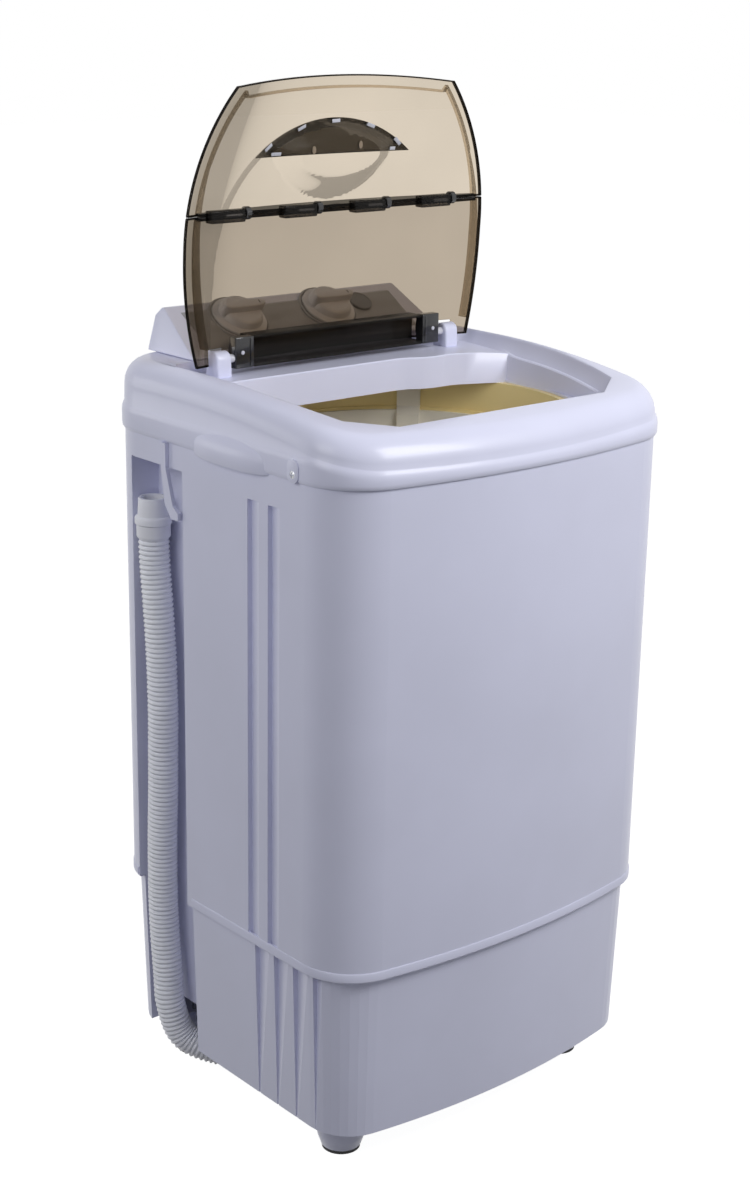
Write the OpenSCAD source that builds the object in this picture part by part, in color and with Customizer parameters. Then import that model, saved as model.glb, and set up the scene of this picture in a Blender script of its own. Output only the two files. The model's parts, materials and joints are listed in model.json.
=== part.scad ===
/* [Body] */
// Width of the cabinet
body_w = 420; // [400:1:440]
// Depth of the cabinet
body_d = 392; // [376:1:410]
// Radius of the upright corners
corner_r = 59; // [50:1:66]
// How far the front bows out
front_bow = 13.6; // [8:0.2:18]
// Thickness of the plastic walls
wall = 2.6; // [2:0.1:3.2]
// Height of the base skirt's lower edge
skirt_z = 42; // [36:1:48]
// Height of the seam between base and cabinet
seam_z = 211; // [200:1:225]
// Height of the cabinet's top edge
cover_z = 681; // [660:1:700]
// Inset of the base skirt at its top
skirt_inset = 6.4; // [4:0.2:8]
// Further inset of the base skirt at its foot
skirt_taper = 5.2; // [2:0.2:7]

/* [Side grooves] */
// Depth of a groove's sharp edge
groove_depth = 5; // [3:0.5:6]
// Width of a groove's ramp
groove_w = 17; // [12:1:22]
// Place of the first groove's sharp edge
groove_y = -40; // [-46:1:-34]
// Distance between the grooves
groove_pitch = 30.3; // [26:0.1:34]
// Distance of the grooves' upper end below the cabinet's top
groove_drop = 29; // [21:1:80]

/* [Hose channel] */
// Width of the channel
channel_w = 85; // [78:1:90]
// Distance of the channel from the rear wall
channel_back = 50; // [44:1:54]
// Depth of the channel
channel_depth = 32; // [28:1:34]
// Distance of the channel's upper end below the cabinet's top
channel_drop = 24; // [17:1:41]

/* [Top cover] */
// Height of the bead round the cover's foot
bead_h = 26; // [20:1:30]
// Bulge of the bead
bead_out = 3; // [2:0.5:4]
// Height of the deck above the cabinet's top
cover_h = 67; // [60:1:72]
// Width of the shoulder between side and deck
shoulder_w = 22; // [16:1:26]
// Height of the shoulder
shoulder_h = 24; // [18:1:30]
// Width of the deck in front of the opening
front_deck = 42; // [36:1:46]
// Distance of the opening's front corners from the side walls
corner_deck = 80; // [74:1:90]
// Width of the deck beside the opening
side_deck = 23; // [20:1:26]
// Depth of the upper wall under the opening's rim
rim_drop = 16; // [12:1:20]
// Depth of the shelf behind the opening below the deck
shelf_drop = 12; // [10:1:20]
// Depth of the shelf from front to rear
shelf_d = 54; // [50:1:58]
// Gap between the shelf's rear edge and the console
shelf_gap = 1; // [0.5:0.5:3]
// Height of the ring over the tub above the cabinet's top
ring_h = 23; // [17:1:27]

/* [Tub] */
// Gap between the tub and the front wall
tub_gap = 28; // [25:1:38]
// Place of the tub's axis from front to rear
tub_y = -8; // [-14:1:-4]
// Height of the tub's floor above the motor plate
tub_floor_h = 143; // [136:1:160]
// Distance of the tub's upper edge below the cabinet's top
tub_drop = 13; // [5:1:31]
// Radius of the curve between wall and floor
tub_fillet = 34; // [20:1:44]
// How far the collar stands outside the tub's wall
collar_step = 7; // [4:0.5:9]

/* [Feet] */
// Distance of the feet from the side walls
foot_side = 58; // [55:1:64]
// Distance of the front feet from the front
foot_fore = 82; // [76:1:88]
// Distance of the rear feet from the rear wall
foot_back = 64; // [60:1:68]
// Radius of a foot at its top
foot_top_r = 28; // [24:1:29]
// Radius of a foot at its bottom
foot_low_r = 20; // [16:1:22]
// Thickness of the rubber pads
pad_h = 4; // [3:0.5:6]

/* [Lid] */
// Radius of the lid's dome
dome_r = 750; // [740:1:760]
// Thickness of the lid
lid_wall = 2.6; // [2:0.1:3]
// Distance of the open lid's widest edge from the side walls
lid_side = 22.5; // [20:0.5:24]
// Depth of the open lid's foot edge below the deck
lid_sink = 2; // [0:0.5:4]
// Length of the lid
lid_len = 267; // [262:1:270]
// Inset of the lid's flange
flange_in = 10; // [8:0.5:12]
// Distance of the flange's tips, and so of the fold axis, in front of the hinge
tip_fore = 9; // [8:0.5:10]
// Length of the lid's rear panel
rear_panel = 142; // [134:1:150]
// Distance of the lid's hinge axis in front of the console
hinge_fore = 26; // [25:0.5:27]
// Height of the lid's hinge axis above the deck
hinge_h = 4; // [2:0.5:6]
// Radius of the hinge pins
pin_r = 4; // [3:0.5:5]
// Radius of the fold pins
fold_pin_r = 2; // [1.5:0.5:2.5]
// Running clearance of pins and shafts
run = 0.05; // [0.02:0.01:0.08]

/* [Console] */
// Distance of the console's ends from the side walls
console_side_gap = 50; // [44:1:60]
// Draw-in of the console's ends towards the top
console_draft = 12; // [6:1:18]
// Depth of the console from front to rear
console_d = 75; // [72:0.5:76]
// Distance of the console from the rear wall
console_back = 8; // [6:1:12]
// Height of the console above the deck
console_h = 42; // [38:1:46]
// Slope of the control panel in degrees
panel_slope = 32; // [28:1:36]
// Place of the timer knob across the panel
timer_x = -76; // [-84:1:-70]
// Place of the selector knob across the panel
selector_x = 38; // [30:1:46]
// Radius of a knob's skirt
knob_r = 28.5; // [24:0.5:31]

/* [Drive] */
// Distance from the pulsator's axis to the motor's axis, left to right
motor_x = 96; // [90:1:100]
// Distance of the motor's axis from the rear wall
motor_back = 100; // [96:1:106]
// Radius of the motor
motor_r = 58; // [50:1:62]
// Height of the motor
motor_h = 92; // [80:1:100]
// Radius of the driven pulley
pulley_r = 92; // [80:1:96]
// Radius of the motor pulley
small_pulley_r = 18.4; // [16:0.4:20]
// Height of the belt's middle above the skirt's lower edge
belt_h = 30; // [26:1:34]
// Height of the motor plate above the skirt's lower edge
plate_h = 58; // [56:1:64]
// Radius of the pulsator's shaft
shaft_r = 7; // [6:0.5:8]
// Radius of the pulsator
pulsator_r = 108; // [90:1:114]

/* [Hidden] */
$fn = 96;
big_fn = 360;
eps = 0.01;
fit = 0.3;
white = [0.80, 0.80, 0.87];
steel = [0.62, 0.63, 0.65];
smoke = [0.62, 0.56, 0.48];
black = [0.09, 0.09, 0.10];
half_w = body_w / 2;
half_d = body_d / 2;
corner_x = half_w - corner_r;
corner_front = -body_d / 2 + front_bow + corner_r;
corner_rear = body_d / 2 - corner_r;
bow_r = (pow(corner_x, 2) + pow(front_bow + corner_r, 2) - pow(corner_r, 2)) / (2 * front_bow);
bow_y = -body_d / 2 + bow_r;
bow_angle = atan2(corner_x, bow_r - front_bow - corner_r);
groove_top = cover_z - groove_drop;
channel_rear = half_d - channel_back;
channel_front = channel_rear - channel_w;
channel_top = cover_z - channel_drop;
deck_z = cover_z + cover_h;
open_front = -half_d + front_deck;
open_front_x = half_w - corner_deck;
open_x = half_w - side_deck;
console_rear = half_d - console_back;
console_front = console_rear - console_d;
console_half = half_w - console_side_gap;
shelf_z = deck_z - shelf_drop;
shelf_rear = console_front - shelf_gap;
shelf_front = shelf_rear - shelf_d;
ring_z = cover_z + ring_h;
plate_t = 3;
plate_z = skirt_z + plate_h;
belt_z = skirt_z + belt_h;
tub_r = half_d + tub_y - tub_gap;
tub_floor_z = plate_z + tub_floor_h;
tub_top_z = cover_z - tub_drop;
collar_r = tub_r + collar_step;
foot_x = half_w - foot_side;
foot_front = -half_d + foot_fore;
foot_rear = half_d - foot_back;
motor_y = half_d - motor_back;
motor_dy = motor_y - tub_y;
hinge_y = console_front - hinge_fore;
hinge_z = deck_z + hinge_h;
tip_y = hinge_y - tip_fore;
lid_half = half_w - lid_side;
lid_foot = deck_z - lid_sink;
lid_top = lid_foot + lid_len;
fold_z = lid_foot + rear_panel;
// The dome's crown lies behind the hinge; its centre is a third of the way up the lid
crown_y = hinge_y + 24.8;
dome_y = crown_y - dome_r;
dome_z = lid_foot + 66.8;
panel_z0 = deck_z + 2.8;
knob_y = console_front + 38;
panel_mid = console_front + 30;
// The hose: a route of round points, a ribbed skin and a plain bore
hose_r = 15.5;
hose_bore = 11.6;
hose_pitch = 40;
hose_x = -half_w + 12;
hose_y = channel_rear - 20;
hose_z = channel_top - 65;
// Bends of the hanging run: its y offset at each step down
hose_sway = [1, 0, -4, -7.5, -9.5, -10, -9, -8, -6, -5, -5, -7, -11, -16];
hose_low = hose_z - 13 * hose_pitch + 2;
hose_route = concat([for (i = [0:13]) [hose_x, hose_y + hose_sway[i], hose_z - i * (hose_z - hose_low) / 13]],
    [[hose_x + 10, hose_y - 26, hose_low - 35], [hose_x + 35, hose_y - 51, hose_low - 50],
    [hose_x + 62, hose_y - 78, hose_low - 50]]);
elbow_bend_r = 18;
hose_end = hose_route[len(hose_route) - 1];
elbow_x = hose_end[0] + elbow_bend_r * (1 + cos(45));
drain_x = elbow_x + 36;
drain_y = hose_end[1] - elbow_bend_r * sin(45);

// Point list of an arc, end point left out
function arc(cx, cy, r, a0, a1, n) = [for (i = [0:n - 1]) let (a = a0 + (a1 - a0) * i / n)
    [cx + r * cos(a), cy + r * sin(a)]];
// Point list of a line, end point left out
function line(a, b, n) = [for (i = [0:n - 1]) a + (b - a) * i / n];
// The body's plan, drawn in by d, counterclockwise from the front's left end
function plan(d) = let (r = corner_r - d, w = body_w / 2 - d, b = body_d / 2 - d) concat(
    arc(0, bow_y, bow_r - d, 270 - bow_angle, 270 + bow_angle, 20),
    arc(corner_x, corner_front, r, 270 + bow_angle, 360, 8),
    line([w, corner_front], [w, corner_rear], 14),
    arc(corner_x, corner_rear, r, 0, 90, 8),
    line([corner_x, b], [-corner_x, b], 12),
    arc(-corner_x, corner_rear, r, 90, 180, 8),
    line([-w, corner_rear], [-w, corner_front], 14),
    arc(-corner_x, corner_front, r, 180, 270 - bow_angle, 8));
// The same plan with true arcs
module plan_2d(d) {
    polygon([[-body_w / 2 + d, corner_front], [body_w / 2 - d, corner_front],
        [body_w / 2 - d, corner_rear], [corner_x, body_d / 2 - d],
        [-corner_x, body_d / 2 - d], [-body_w / 2 + d, corner_rear]]);
    for (x = [-corner_x, corner_x])
        for (y = [corner_front, corner_rear])
            translate([x, y]) circle(corner_r - d);
    reach = corner_r + 40;
    intersection() {
        translate([0, bow_y]) circle(bow_r - d, $fn = big_fn * 2);
        polygon([[-corner_x, corner_front], [corner_x, corner_front],
            [corner_x + reach * sin(bow_angle), corner_front - reach * cos(bow_angle)],
            [-corner_x - reach * sin(bow_angle), corner_front - reach * cos(bow_angle)]]);
    }
}
// Triangles that join a loop of rings, each with n points, into a closed skin
function skin(rings, n) = [for (k = [0:rings - 1]) for (i = [0:n - 1])
    let (a = k * n + i, b = k * n + (i + 1) % n, c = ((k + 1) % rings) * n + (i + 1) % n,
        d = ((k + 1) % rings) * n + i)
    each [[a, c, b], [a, d, c]]];

// Grooves and hose channel cut into a side; g is how much they are grown
module groove(y, top, g) {
    w = body_w / 2;
    for (s = [-1, 1])
        translate([0, 0, skirt_z - 30])
            linear_extrude(top + g - skirt_z + 30)
                polygon([[s * (w + 1), y + g], [s * (w - groove_depth - g), y + g],
                    [s * (w - g), y - groove_w], [s * (w + 1), y - groove_w]]);
}
module channel(g) {
    translate([-body_w / 2 - 1, channel_front - g, skirt_z - 30])
        cube([channel_depth + 1 + g, channel_rear - channel_front + 2 * g, channel_top + g - skirt_z + 30]);
}
module cabinet_solid(d) {
    difference() {
        translate([0, 0, seam_z - (d > 0 ? 1 : 0)])
            linear_extrude(cover_z - seam_z + (d > 0 ? 2 : 0)) plan_2d(d);
        for (i = [0, 1])
            groove(groove_y - i * groove_pitch, groove_top, d);
        channel(d);
    }
}
rear_open_w = 250;
rear_open_h = 330;
rear_open_z = seam_z + 51;
module rear_screw_places() {
    for (x = [-1, 1])
        for (z = [rear_open_z - 9, rear_open_z + rear_open_h + 9])
            translate([x * (rear_open_w / 2 - 20), body_d / 2, z]) rotate([90, 0, 0]) children();
}
module cabinet_shell() {
    color(white) difference() {
        cabinet_solid(0);
        cabinet_solid(wall);
        translate([-rear_open_w / 2, body_d / 2 - 20, rear_open_z]) cube([rear_open_w, 40, rear_open_h]);
        rear_screw_places() cylinder(h = 20, r = 1.6, center = true);
    }
}
module rear_cover() {
    edge = 18;
    color(white) difference() {
        union() {
            translate([-rear_open_w / 2 - edge, body_d / 2, rear_open_z - edge])
                cube([rear_open_w + 2 * edge, 1.2, rear_open_h + 2 * edge]);
            translate([-rear_open_w / 2 + fit, body_d / 2 - 4, rear_open_z + fit])
                cube([rear_open_w - 2 * fit, 4 + eps, rear_open_h - 2 * fit]);
        }
        translate([-rear_open_w / 2 + 3, body_d / 2 - 5, rear_open_z + 3])
            cube([rear_open_w - 6, 4.4, rear_open_h - 6]);
        rear_screw_places() cylinder(h = 20, r = 1.9, center = true);
        for (i = [-5:5])
            translate([-60, body_d / 2 - 3, rear_open_z + 60 + i * 7]) cube([120, 10, 2.4]);
    }
}
module rear_cover_screws() {
    color(steel) rear_screw_places() {
        translate([0, 0, -1.2]) cylinder(h = 9, r = 1.5, $fn = 24);
        translate([0, 0, -3.2]) cylinder(h = 2, r = 3.6, $fn = 32);
    }
}
// The base skirt, drawn in towards its foot
module skirt_solid(d) {
    top = skirt_inset + d;
    foot = top + skirt_taper;
    difference() {
        translate([0, 0, skirt_z - (d > 0 ? 1 : 0)])
            polyhedron([for (p = plan(foot)) [p[0], p[1], 0], for (p = plan(top)) [p[0], p[1],
                seam_z - skirt_z + (d > 0 ? 2 : 0)]],
                [[for (i = [0:91]) i], [for (i = [183:-1:92]) i],
                for (i = [0:91]) [i, i + 92, 92 + (i + 1) % 92, (i + 1) % 92]]);
        for (i = [0:3])
            translate([0, -i * 0.4, 0]) skirt_groove(groove_y - 2 - i * (groove_pitch - 1.3), d);
        channel(d);
    }
}
module skirt_groove(y, g) {
    w = body_w / 2;
    for (s = [-1, 1])
        translate([0, 0, skirt_z - 30])
            linear_extrude(seam_z - skirt_z + 60)
                polygon([[s * (w + 1), y + g], [s * (w - skirt_inset - groove_depth - g - 1), y + g],
                    [s * (w - skirt_inset - g), y - groove_w - 6], [s * (w + 1), y - groove_w - 6]]);
}
module foot_places() {
    for (x = [-foot_x, foot_x])
        for (y = [foot_front, foot_rear])
            translate([x, y, 0]) children();
}
frame_t = 3;
plate_posts = [[-half_w + 60, -half_d + 46], [half_w - 60, -half_d + 46], [-half_w + 110, half_d - 28],
    [half_w - 60, half_d - 36]];
module base_skirt() {
    color(white) difference() {
        union() {
            difference() {
                skirt_solid(0);
                skirt_solid(wall);
            }
            // foot frame inside the lower edge
            intersection() {
                skirt_solid(1);
                translate([0, 0, skirt_z]) linear_extrude(frame_t) difference() {
                    square([body_w, body_d], center = true);
                    square([body_w - 130, body_d - 120], center = true);
                }
            }
            // four posts that carry the motor plate
            for (p = plate_posts)
                translate([p[0], p[1], skirt_z]) cylinder(h = plate_z - skirt_z, r = 9, $fn = 48);
            // inner ledge under the cabinet's lower edge
            translate([0, 0, seam_z - 3]) linear_extrude(3) difference() {
                plan_2d(wall + 0.4);
                plan_2d(skirt_inset + 6);
                translate([-body_w / 2 - 1, channel_front - wall - 1])
                    square([channel_depth + wall + 2, channel_rear - channel_front + 2 * wall + 2]);
                for (i = [0:3])
                    for (s = [-1, 1])
                        translate([s * (body_w / 2 - 5), groove_y - 12 - i * groove_pitch])
                            square([16, 30], center = true);
            }
        }
        foot_places() translate([0, 0, skirt_z - 1]) cylinder(h = 10, r = 2.6, $fn = 32);
        translate([elbow_x - elbow_bend_r, drain_y, skirt_z - 1]) cylinder(h = 10, r = 16);
        // gate that lets the hose in under the channel's floor
        translate([-body_w / 2 + channel_depth - 5, channel_front + 2, skirt_z - 1]) cube([26, 62, 34]);
        for (p = plate_posts) translate([p[0], p[1], plate_z - 16]) cylinder(h = 20, r = 2, $fn = 32);
    }
}

// The top cover: rings from the outer foot over the deck into the opening and back underneath
function deck(y) = deck_z - pow(min(y - 60, 0), 2) / 2300;
rim_mid_y = -12;
// Opening's outline, matched point by point with the plan; back is its rear edge, d draws it in
function rim(d, back) = let (f = open_front + d, x0 = open_front_x, xs = open_x - d,
    side = function (t) [xs - pow(max(rim_mid_y - t, 0), 1.75) / 232, t]) concat(
    line([-x0, f], [x0, f], 20),
    line([x0, f], side(open_front + 28), 8),
    line(side(open_front + 28), [xs, back - 16], 1),
    [for (i = [1:13]) side(open_front + 28 + (back - 16 - open_front - 28) * i / 14)],
    arc(xs - 16, back - 16, 16, 0, 90, 8),
    line([xs - 16, back], [-xs + 16, back], 12),
    arc(-xs + 16, back - 16, 16, 90, 180, 8),
    [for (i = [14:-1:1]) let (p = side(open_front + 28 + (back - 16 - open_front - 28) * i / 14)) [-p[0], p[1]]],
    line([-side(open_front + 28)[0], open_front + 28], [-x0, f], 8));
function ring(pts, z) = [for (p = pts) [p[0], p[1], z]];
function ring_on_deck(pts, drop) = [for (p = pts) [p[0], p[1], deck(p[1]) - drop]];
function lower_rim(pts, drop) = [for (p = pts) let (s = max(0, min(1, (p[1] - 10) / 30)))
    [p[0], p[1], (deck(p[1]) - drop) * (1 - s) + (shelf_z - drop + rim_drop) * s]];
// Well between ledge and tub: its rear wall runs in a wave behind the tub
function well(d) = [for (p = rim(d, shelf_rear)) let (b = well_back(p[0])) [p[0], min(p[1], b + 0.5 + (12 - d) * 0.87)]];
function well_back(x) = shelf_front - 12 * soft_step((x - 56) / 34) - max(x - 120, 0) * 0.42;
function soft_step(t) = let (u = max(0, min(1, t))) u * u * (3 - 2 * u);
// Outer edge of the flange at the well's foot: it reaches over the tub's collar
function flange_ring(z) = [for (p = well(6)) let (c = [0, tub_y], v = p - c, r = max(collar_r + 8, norm(v)))
    [each (c + r * v / norm(v)), z]];
cover_rings = let (t = wall, s = shoulder_w, h = shoulder_h, top = function (f, d) [for (p = plan(d))
    [p[0], p[1], deck(p[1] * 1.0) - h * (1 - f)]]) concat(
    ring(plan(-bead_out + 1), cover_z), ring(plan(-bead_out), cover_z + 3),
    [for (p = plan(-bead_out)) [p[0], p[1], min(cover_z + bead_h, deck(p[1]) - h - 0.5) - 5]],
    [for (p = plan(0)) [p[0], p[1], min(cover_z + bead_h, deck(p[1]) - h - 0.5)]],
    top(0, 0), top(sin(25), s * (1 - cos(25))), top(sin(50), s * (1 - cos(50))),
    top(sin(70), s * (1 - cos(70))), top(1, s),
    ring_on_deck(rim(0, shelf_rear), 0), lower_rim(rim(8, shelf_rear - 1), rim_drop),
    lower_rim(well(12), rim_drop), ring(well(14), ring_z), flange_ring(ring_z), flange_ring(ring_z + t),
    ring(well(9), ring_z + t), lower_rim(well(9), rim_drop + t),
    [for (p = lower_rim(rim(5, shelf_rear + 2), rim_drop + t)) p], ring_on_deck(rim(-3, shelf_rear + 3), t),
    [for (p = plan(s - 5)) [p[0], p[1], deck(p[1]) - t]],
    [for (p = plan(s * (1 - cos(50)) + t)) [p[0], p[1], deck(p[1]) - h * (1 - sin(50)) - t]],
    [for (p = plan(t)) [p[0], p[1], deck(p[1]) - h - t]], ring(plan(t), cover_z + 1), ring(plan(t - bead_out + 1), cover_z));
module cover_skin() {
    n = 92;
    rings = len(cover_rings) / n;
    polyhedron(cover_rings, skin(rings, n));
}
grip_front = -70;
grip_rear = 39;
grip_z = cover_z + 3;
screw_y = -110;
screw_z = cover_z + 7;
timer_box = [50, 34, 30];
ear_x0 = half_w - 72;
ear_x1 = ear_x0 + 17;
ear_r = 8.4;
module ears() {
    for (s = [-1, 1]) difference() {
        translate([s * (ear_x0 + ear_x1) / 2, 0, 0]) {
            rotate([0, 90, 0]) translate([-hinge_z, hinge_y, 0])
                cylinder(h = ear_x1 - ear_x0, r = ear_r, center = true, $fn = 48);
            translate([-(ear_x1 - ear_x0) / 2, hinge_y - ear_r, shelf_z - 1])
                cube([ear_x1 - ear_x0, 2 * ear_r, hinge_z - shelf_z + 1]);
        }
        translate([0, hinge_y, hinge_z]) rotate([0, 90, 0])
            cylinder(h = body_w, r = pin_r + run, center = true);
    }
}
module hand_grips() {
    r = (pow((grip_rear - grip_front) / 2, 2) + 36) / 12;
    for (s = [-1, 1]) intersection() {
        translate([s * (body_w / 2 + 6 - r), (grip_front + grip_rear) / 2, grip_z - 3])
            cylinder(h = 17, r = r, $fn = big_fn);
        translate([s * (body_w / 2 + 8) - 10, grip_front - 10, grip_z - 3])
            cube([20, grip_rear - grip_front + 20, 30]);
    }
}
module cover_screw_places() {
    for (s = [-1, 1])
        translate([s * (body_w / 2 + bead_out), screw_y, screw_z]) rotate([0, s * 90, 0]) children();
}
module top_cover() {
    color(white) difference() {
        union() {
            cover_skin();
            ears();
            hand_grips();
        }
        for (x = [timer_x, selector_x])
            translate([x - timer_box[0] / 2 - 3, console_front + 12, deck_z - 20]) cube([timer_box[0] + 6, 56, 40]);
        cover_screw_places() cylinder(h = 24, r = 2, center = true, $fn = 32);
    }
}
module cover_screws() {
    color(steel) cover_screw_places() {
        translate([0, 0, -6]) cylinder(h = 6 + eps, r = 1.9, $fn = 32);
        difference() {
            intersection() {
                cylinder(h = 2.2, r = 4.2, $fn = 48);
                translate([0, 0, -4]) sphere(6.3);
            }
            for (a = [0, 90]) rotate([0, 0, a]) translate([-2.4, -0.45, 1]) cube([4.8, 0.9, 3]);
        }
    }
}
// The console: a sloping wedge with drawn-in ends
slope = tan(panel_slope);
module console_side(d) {
    top = deck_z + console_h - d;
    polygon([[console_front + d, deck_z + 0.4 + (d > 0 ? -2 : 0)], [console_front + d, panel_z0 - d],
        [console_front + (top - panel_z0) / slope + d * 0.5, top], [console_rear - 8 - d / 2, top],
        [console_rear - d, top - 8], [console_rear - d, deck_z + 0.4 + (d > 0 ? -2 : 0)]]);
}
module console_solid(d) {
    intersection() {
        rotate([90, 0, 90]) translate([0, 0, -body_w / 2]) linear_extrude(body_w) console_side(d);
        translate([0, body_d / 2 + 10, 0]) rotate([90, 0, 0]) linear_extrude(body_d)
            polygon([[-console_half + d, deck_z - 4], [console_half - d, deck_z - 4],
                [console_half - console_draft - d, deck_z + console_h], [-console_half + console_draft + d, deck_z + console_h]]);
    }
}
module on_panel(x, y) {
    translate([x, y, panel_z0 + (y - console_front) * slope]) rotate([panel_slope, 0, 0]) children();
}
panel_len = 62;
module console_housing() {
    color(white) difference() {
        console_solid(0);
        console_solid(wall);
        on_panel(0, panel_mid) translate([-136, -panel_len / 2, -1.6]) cube([272, panel_len, 10]);
        on_panel(timer_x, knob_y) cylinder(h = 30, r = 10, center = true);
        on_panel(selector_x, knob_y) cylinder(h = 30, r = 10, center = true);
    }
}
module control_panel() {
    color([0.78, 0.78, 0.84]) difference() {
        on_panel(0, panel_mid) translate([-135.7, -panel_len / 2 + fit, -1.6])
            cube([271.4, panel_len - 2 * fit, 2.2]);
        on_panel(timer_x, knob_y) cylinder(h = 30, r = 5.2, center = true);
        on_panel(selector_x, knob_y) cylinder(h = 30, r = 5.2, center = true);
        on_panel(selector_x + 46, knob_y + 4) cylinder(h = 30, r = 9, center = true);
    }
}
module panel_disc() {
    color([0.45, 0.45, 0.5]) on_panel(selector_x + 46, knob_y + 4) {
        translate([0, 0, 0.6]) cylinder(h = 1.2, r = 13.5);
        translate([0, 0, -1.2]) cylinder(h = 1.8 + eps, r = 8.9);
    }
}
// A switch body under the panel, with its shaft bore
module switch_body(x) {
    on_panel(x, knob_y) difference() {
        union() {
            translate([-timer_box[0] / 2, -timer_box[1] / 2, -1.6 - timer_box[2]])
                cube([timer_box[0], timer_box[1], timer_box[2] - 1.6]);
            translate([0, 0, -6]) cylinder(h = 4.4, r = 9.6);
        }
        translate([0, 0, -20]) cylinder(h = 30, r = 3 + run);
    }
}
module timer_body() {
    color(white) switch_body(timer_x);
}
module selector_body() {
    color(white) switch_body(selector_x);
}
// A knob: skirt, raised grip bar and shaft
module knob(x) {
    on_panel(x, knob_y) {
        translate([0, 0, -18]) cylinder(h = 22, r = 3);
        translate([0, 0, 0.9]) cylinder(h = 3, r = knob_r);
        translate([0, 0, 3.8]) cylinder(h = 9, r1 = knob_r - 5, r2 = knob_r - 8);
        intersection() {
            translate([-knob_r + 4, -4.5, 3.8]) cube([2 * knob_r - 8, 9, 17]);
            translate([0, 0, 3.8]) cylinder(h = 17, r = knob_r - 4);
        }
    }
}
module timer_knob() {
    color([0.72, 0.72, 0.78]) knob(timer_x);
}
module selector_knob() {
    color([0.72, 0.72, 0.78]) knob(selector_x);
}

// The tub: a revolved wall and floor with a bearing hole
well_z = 12;
hub_r = 32;
module wash_tub() {
    color([0.86, 0.85, 0.80]) translate([0, tub_y, 0]) difference() {
        rotate_extrude() {
            difference() {
                union() {
                    translate([0, tub_floor_z - wall]) square([tub_r + wall - tub_fillet, wall]);
                    translate([tub_r - tub_fillet, tub_floor_z + tub_fillet]) difference() {
                        circle(tub_fillet + wall);
                        circle(tub_fillet);
                        translate([-100, 0]) square(200);
                        translate([-200, -100]) square(200);
                    }
                    translate([tub_r, tub_floor_z + tub_fillet])
                        square([wall, tub_top_z - tub_floor_z - tub_fillet]);
                    translate([tub_r, tub_top_z - wall]) square([8, wall]);
                    translate([0, tub_floor_z - well_z - wall]) square([hub_r, wall]);
                    translate([hub_r - wall, tub_floor_z - well_z - wall]) square([wall, well_z + wall]);
                }
                translate([-1, tub_floor_z - well_z]) square([hub_r - wall + 1, well_z + 1]);
            }
        }
        translate([0, 0, tub_floor_z - 40]) cylinder(h = 60, r = 19 + eps);
        for (a = [45:90:315]) rotate([0, 0, a]) translate([26, 0, tub_floor_z - 30]) cylinder(h = 40, r = 1.6, $fn = 24);
        translate([drain_x, drain_y - tub_y, tub_floor_z - 10]) cylinder(h = 20, r = 13);
    }
}
module tub_collar() {
    color([0.80, 0.76, 0.58]) translate([0, tub_y, 0]) rotate_extrude() {
        translate([collar_r - 3, tub_top_z]) square([3 + wall, 3]);
        translate([collar_r, tub_top_z]) square([wall, ring_z - tub_top_z]);
        translate([collar_r, ring_z - 3]) square([9, 3]);
    }
}
column_a = 49;
column_w = 30;
module filter_column() {
    color([0.88, 0.87, 0.84]) intersection() {
        translate([0, tub_y, tub_floor_z + tub_fillet]) rotate([0, 0, column_a]) difference() {
            translate([tub_r - 14, -column_w / 2, 0]) cube([14, column_w, tub_top_z - tub_floor_z - tub_fillet - 40]);
            for (k = [0:11]) translate([tub_r - 16, -column_w / 2 + 5, 20 + k * 26])
                cube([3.5, column_w - 10, 8]);
        }
        translate([0, tub_y, tub_floor_z]) cylinder(h = 500, r = tub_r - fit);
    }
}
// The pulsator: a shallow dish with four raised vanes
pulsator_z = tub_floor_z + 5;
module pulsator() {
    color([0.70, 0.74, 0.85]) translate([0, tub_y, pulsator_z]) difference() {
        union() {
            rotate_extrude() {
                square([30, 12]);
                translate([28, 6]) square([pulsator_r - 28, 4]);
                translate([pulsator_r, 6.5]) circle(3.5, $fn = 32);
            }
            for (a = [0:90:270]) rotate([0, 0, a]) intersection() {
                translate([24, -7, 9]) cube([pulsator_r - 28, 14, 26]);
                translate([pulsator_r * 0.55, 0, -18]) rotate([90, 0, 0]) cylinder(h = 20, r = 46, center = true);
            }
            cylinder(h = 20, r = 24);
        }
        translate([0, 0, -1]) cylinder(h = 14, r = shaft_r);
        cylinder(h = 60, r = 3.2);
        translate([0, 0, 16]) cylinder(h = 10, r = 9);
    }
}
module pulsator_screw() {
    color(steel) translate([0, tub_y, pulsator_z]) {
        cylinder(h = 16, r = 3.1);
        translate([0, 0, 16]) cylinder(h = 3.5, r = 6.5);
    }
}
shaft_top = pulsator_z + 13;
shaft_low = belt_z - 22;
module pulsator_shaft() {
    color(steel) translate([0, tub_y, 0]) difference() {
        translate([0, 0, shaft_low]) cylinder(h = shaft_top - shaft_low, r = shaft_r);
        translate([0, 0, pulsator_z - 4]) cylinder(h = 20, r = 3.15);
    }
}
bearing_low = plate_z + 8;
bearing_r = 13;
housing_top = tub_floor_z - well_z;
module bearing_housing() {
    color(steel) translate([0, tub_y, 0]) difference() {
        union() {
            translate([0, 0, bearing_low]) cylinder(h = housing_top - bearing_low + 6, r = 19);
            translate([0, 0, housing_top - wall - 5]) cylinder(h = 5, r = 31);
        }
        translate([0, 0, bearing_low - 1]) cylinder(h = 200, r = shaft_r + 1);
        translate([0, 0, bearing_low - 1]) cylinder(h = 11, r = bearing_r);
        translate([0, 0, housing_top - 22]) cylinder(h = 60, r = bearing_r);
    }
}
module shaft_bearings() {
    color(steel) translate([0, tub_y, 0]) for (z = [bearing_low, housing_top - 22])
        translate([0, 0, z]) difference() {
            cylinder(h = 10, r = bearing_r);
            translate([0, 0, -1]) cylinder(h = 12, r = shaft_r + run);
        }
}
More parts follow.
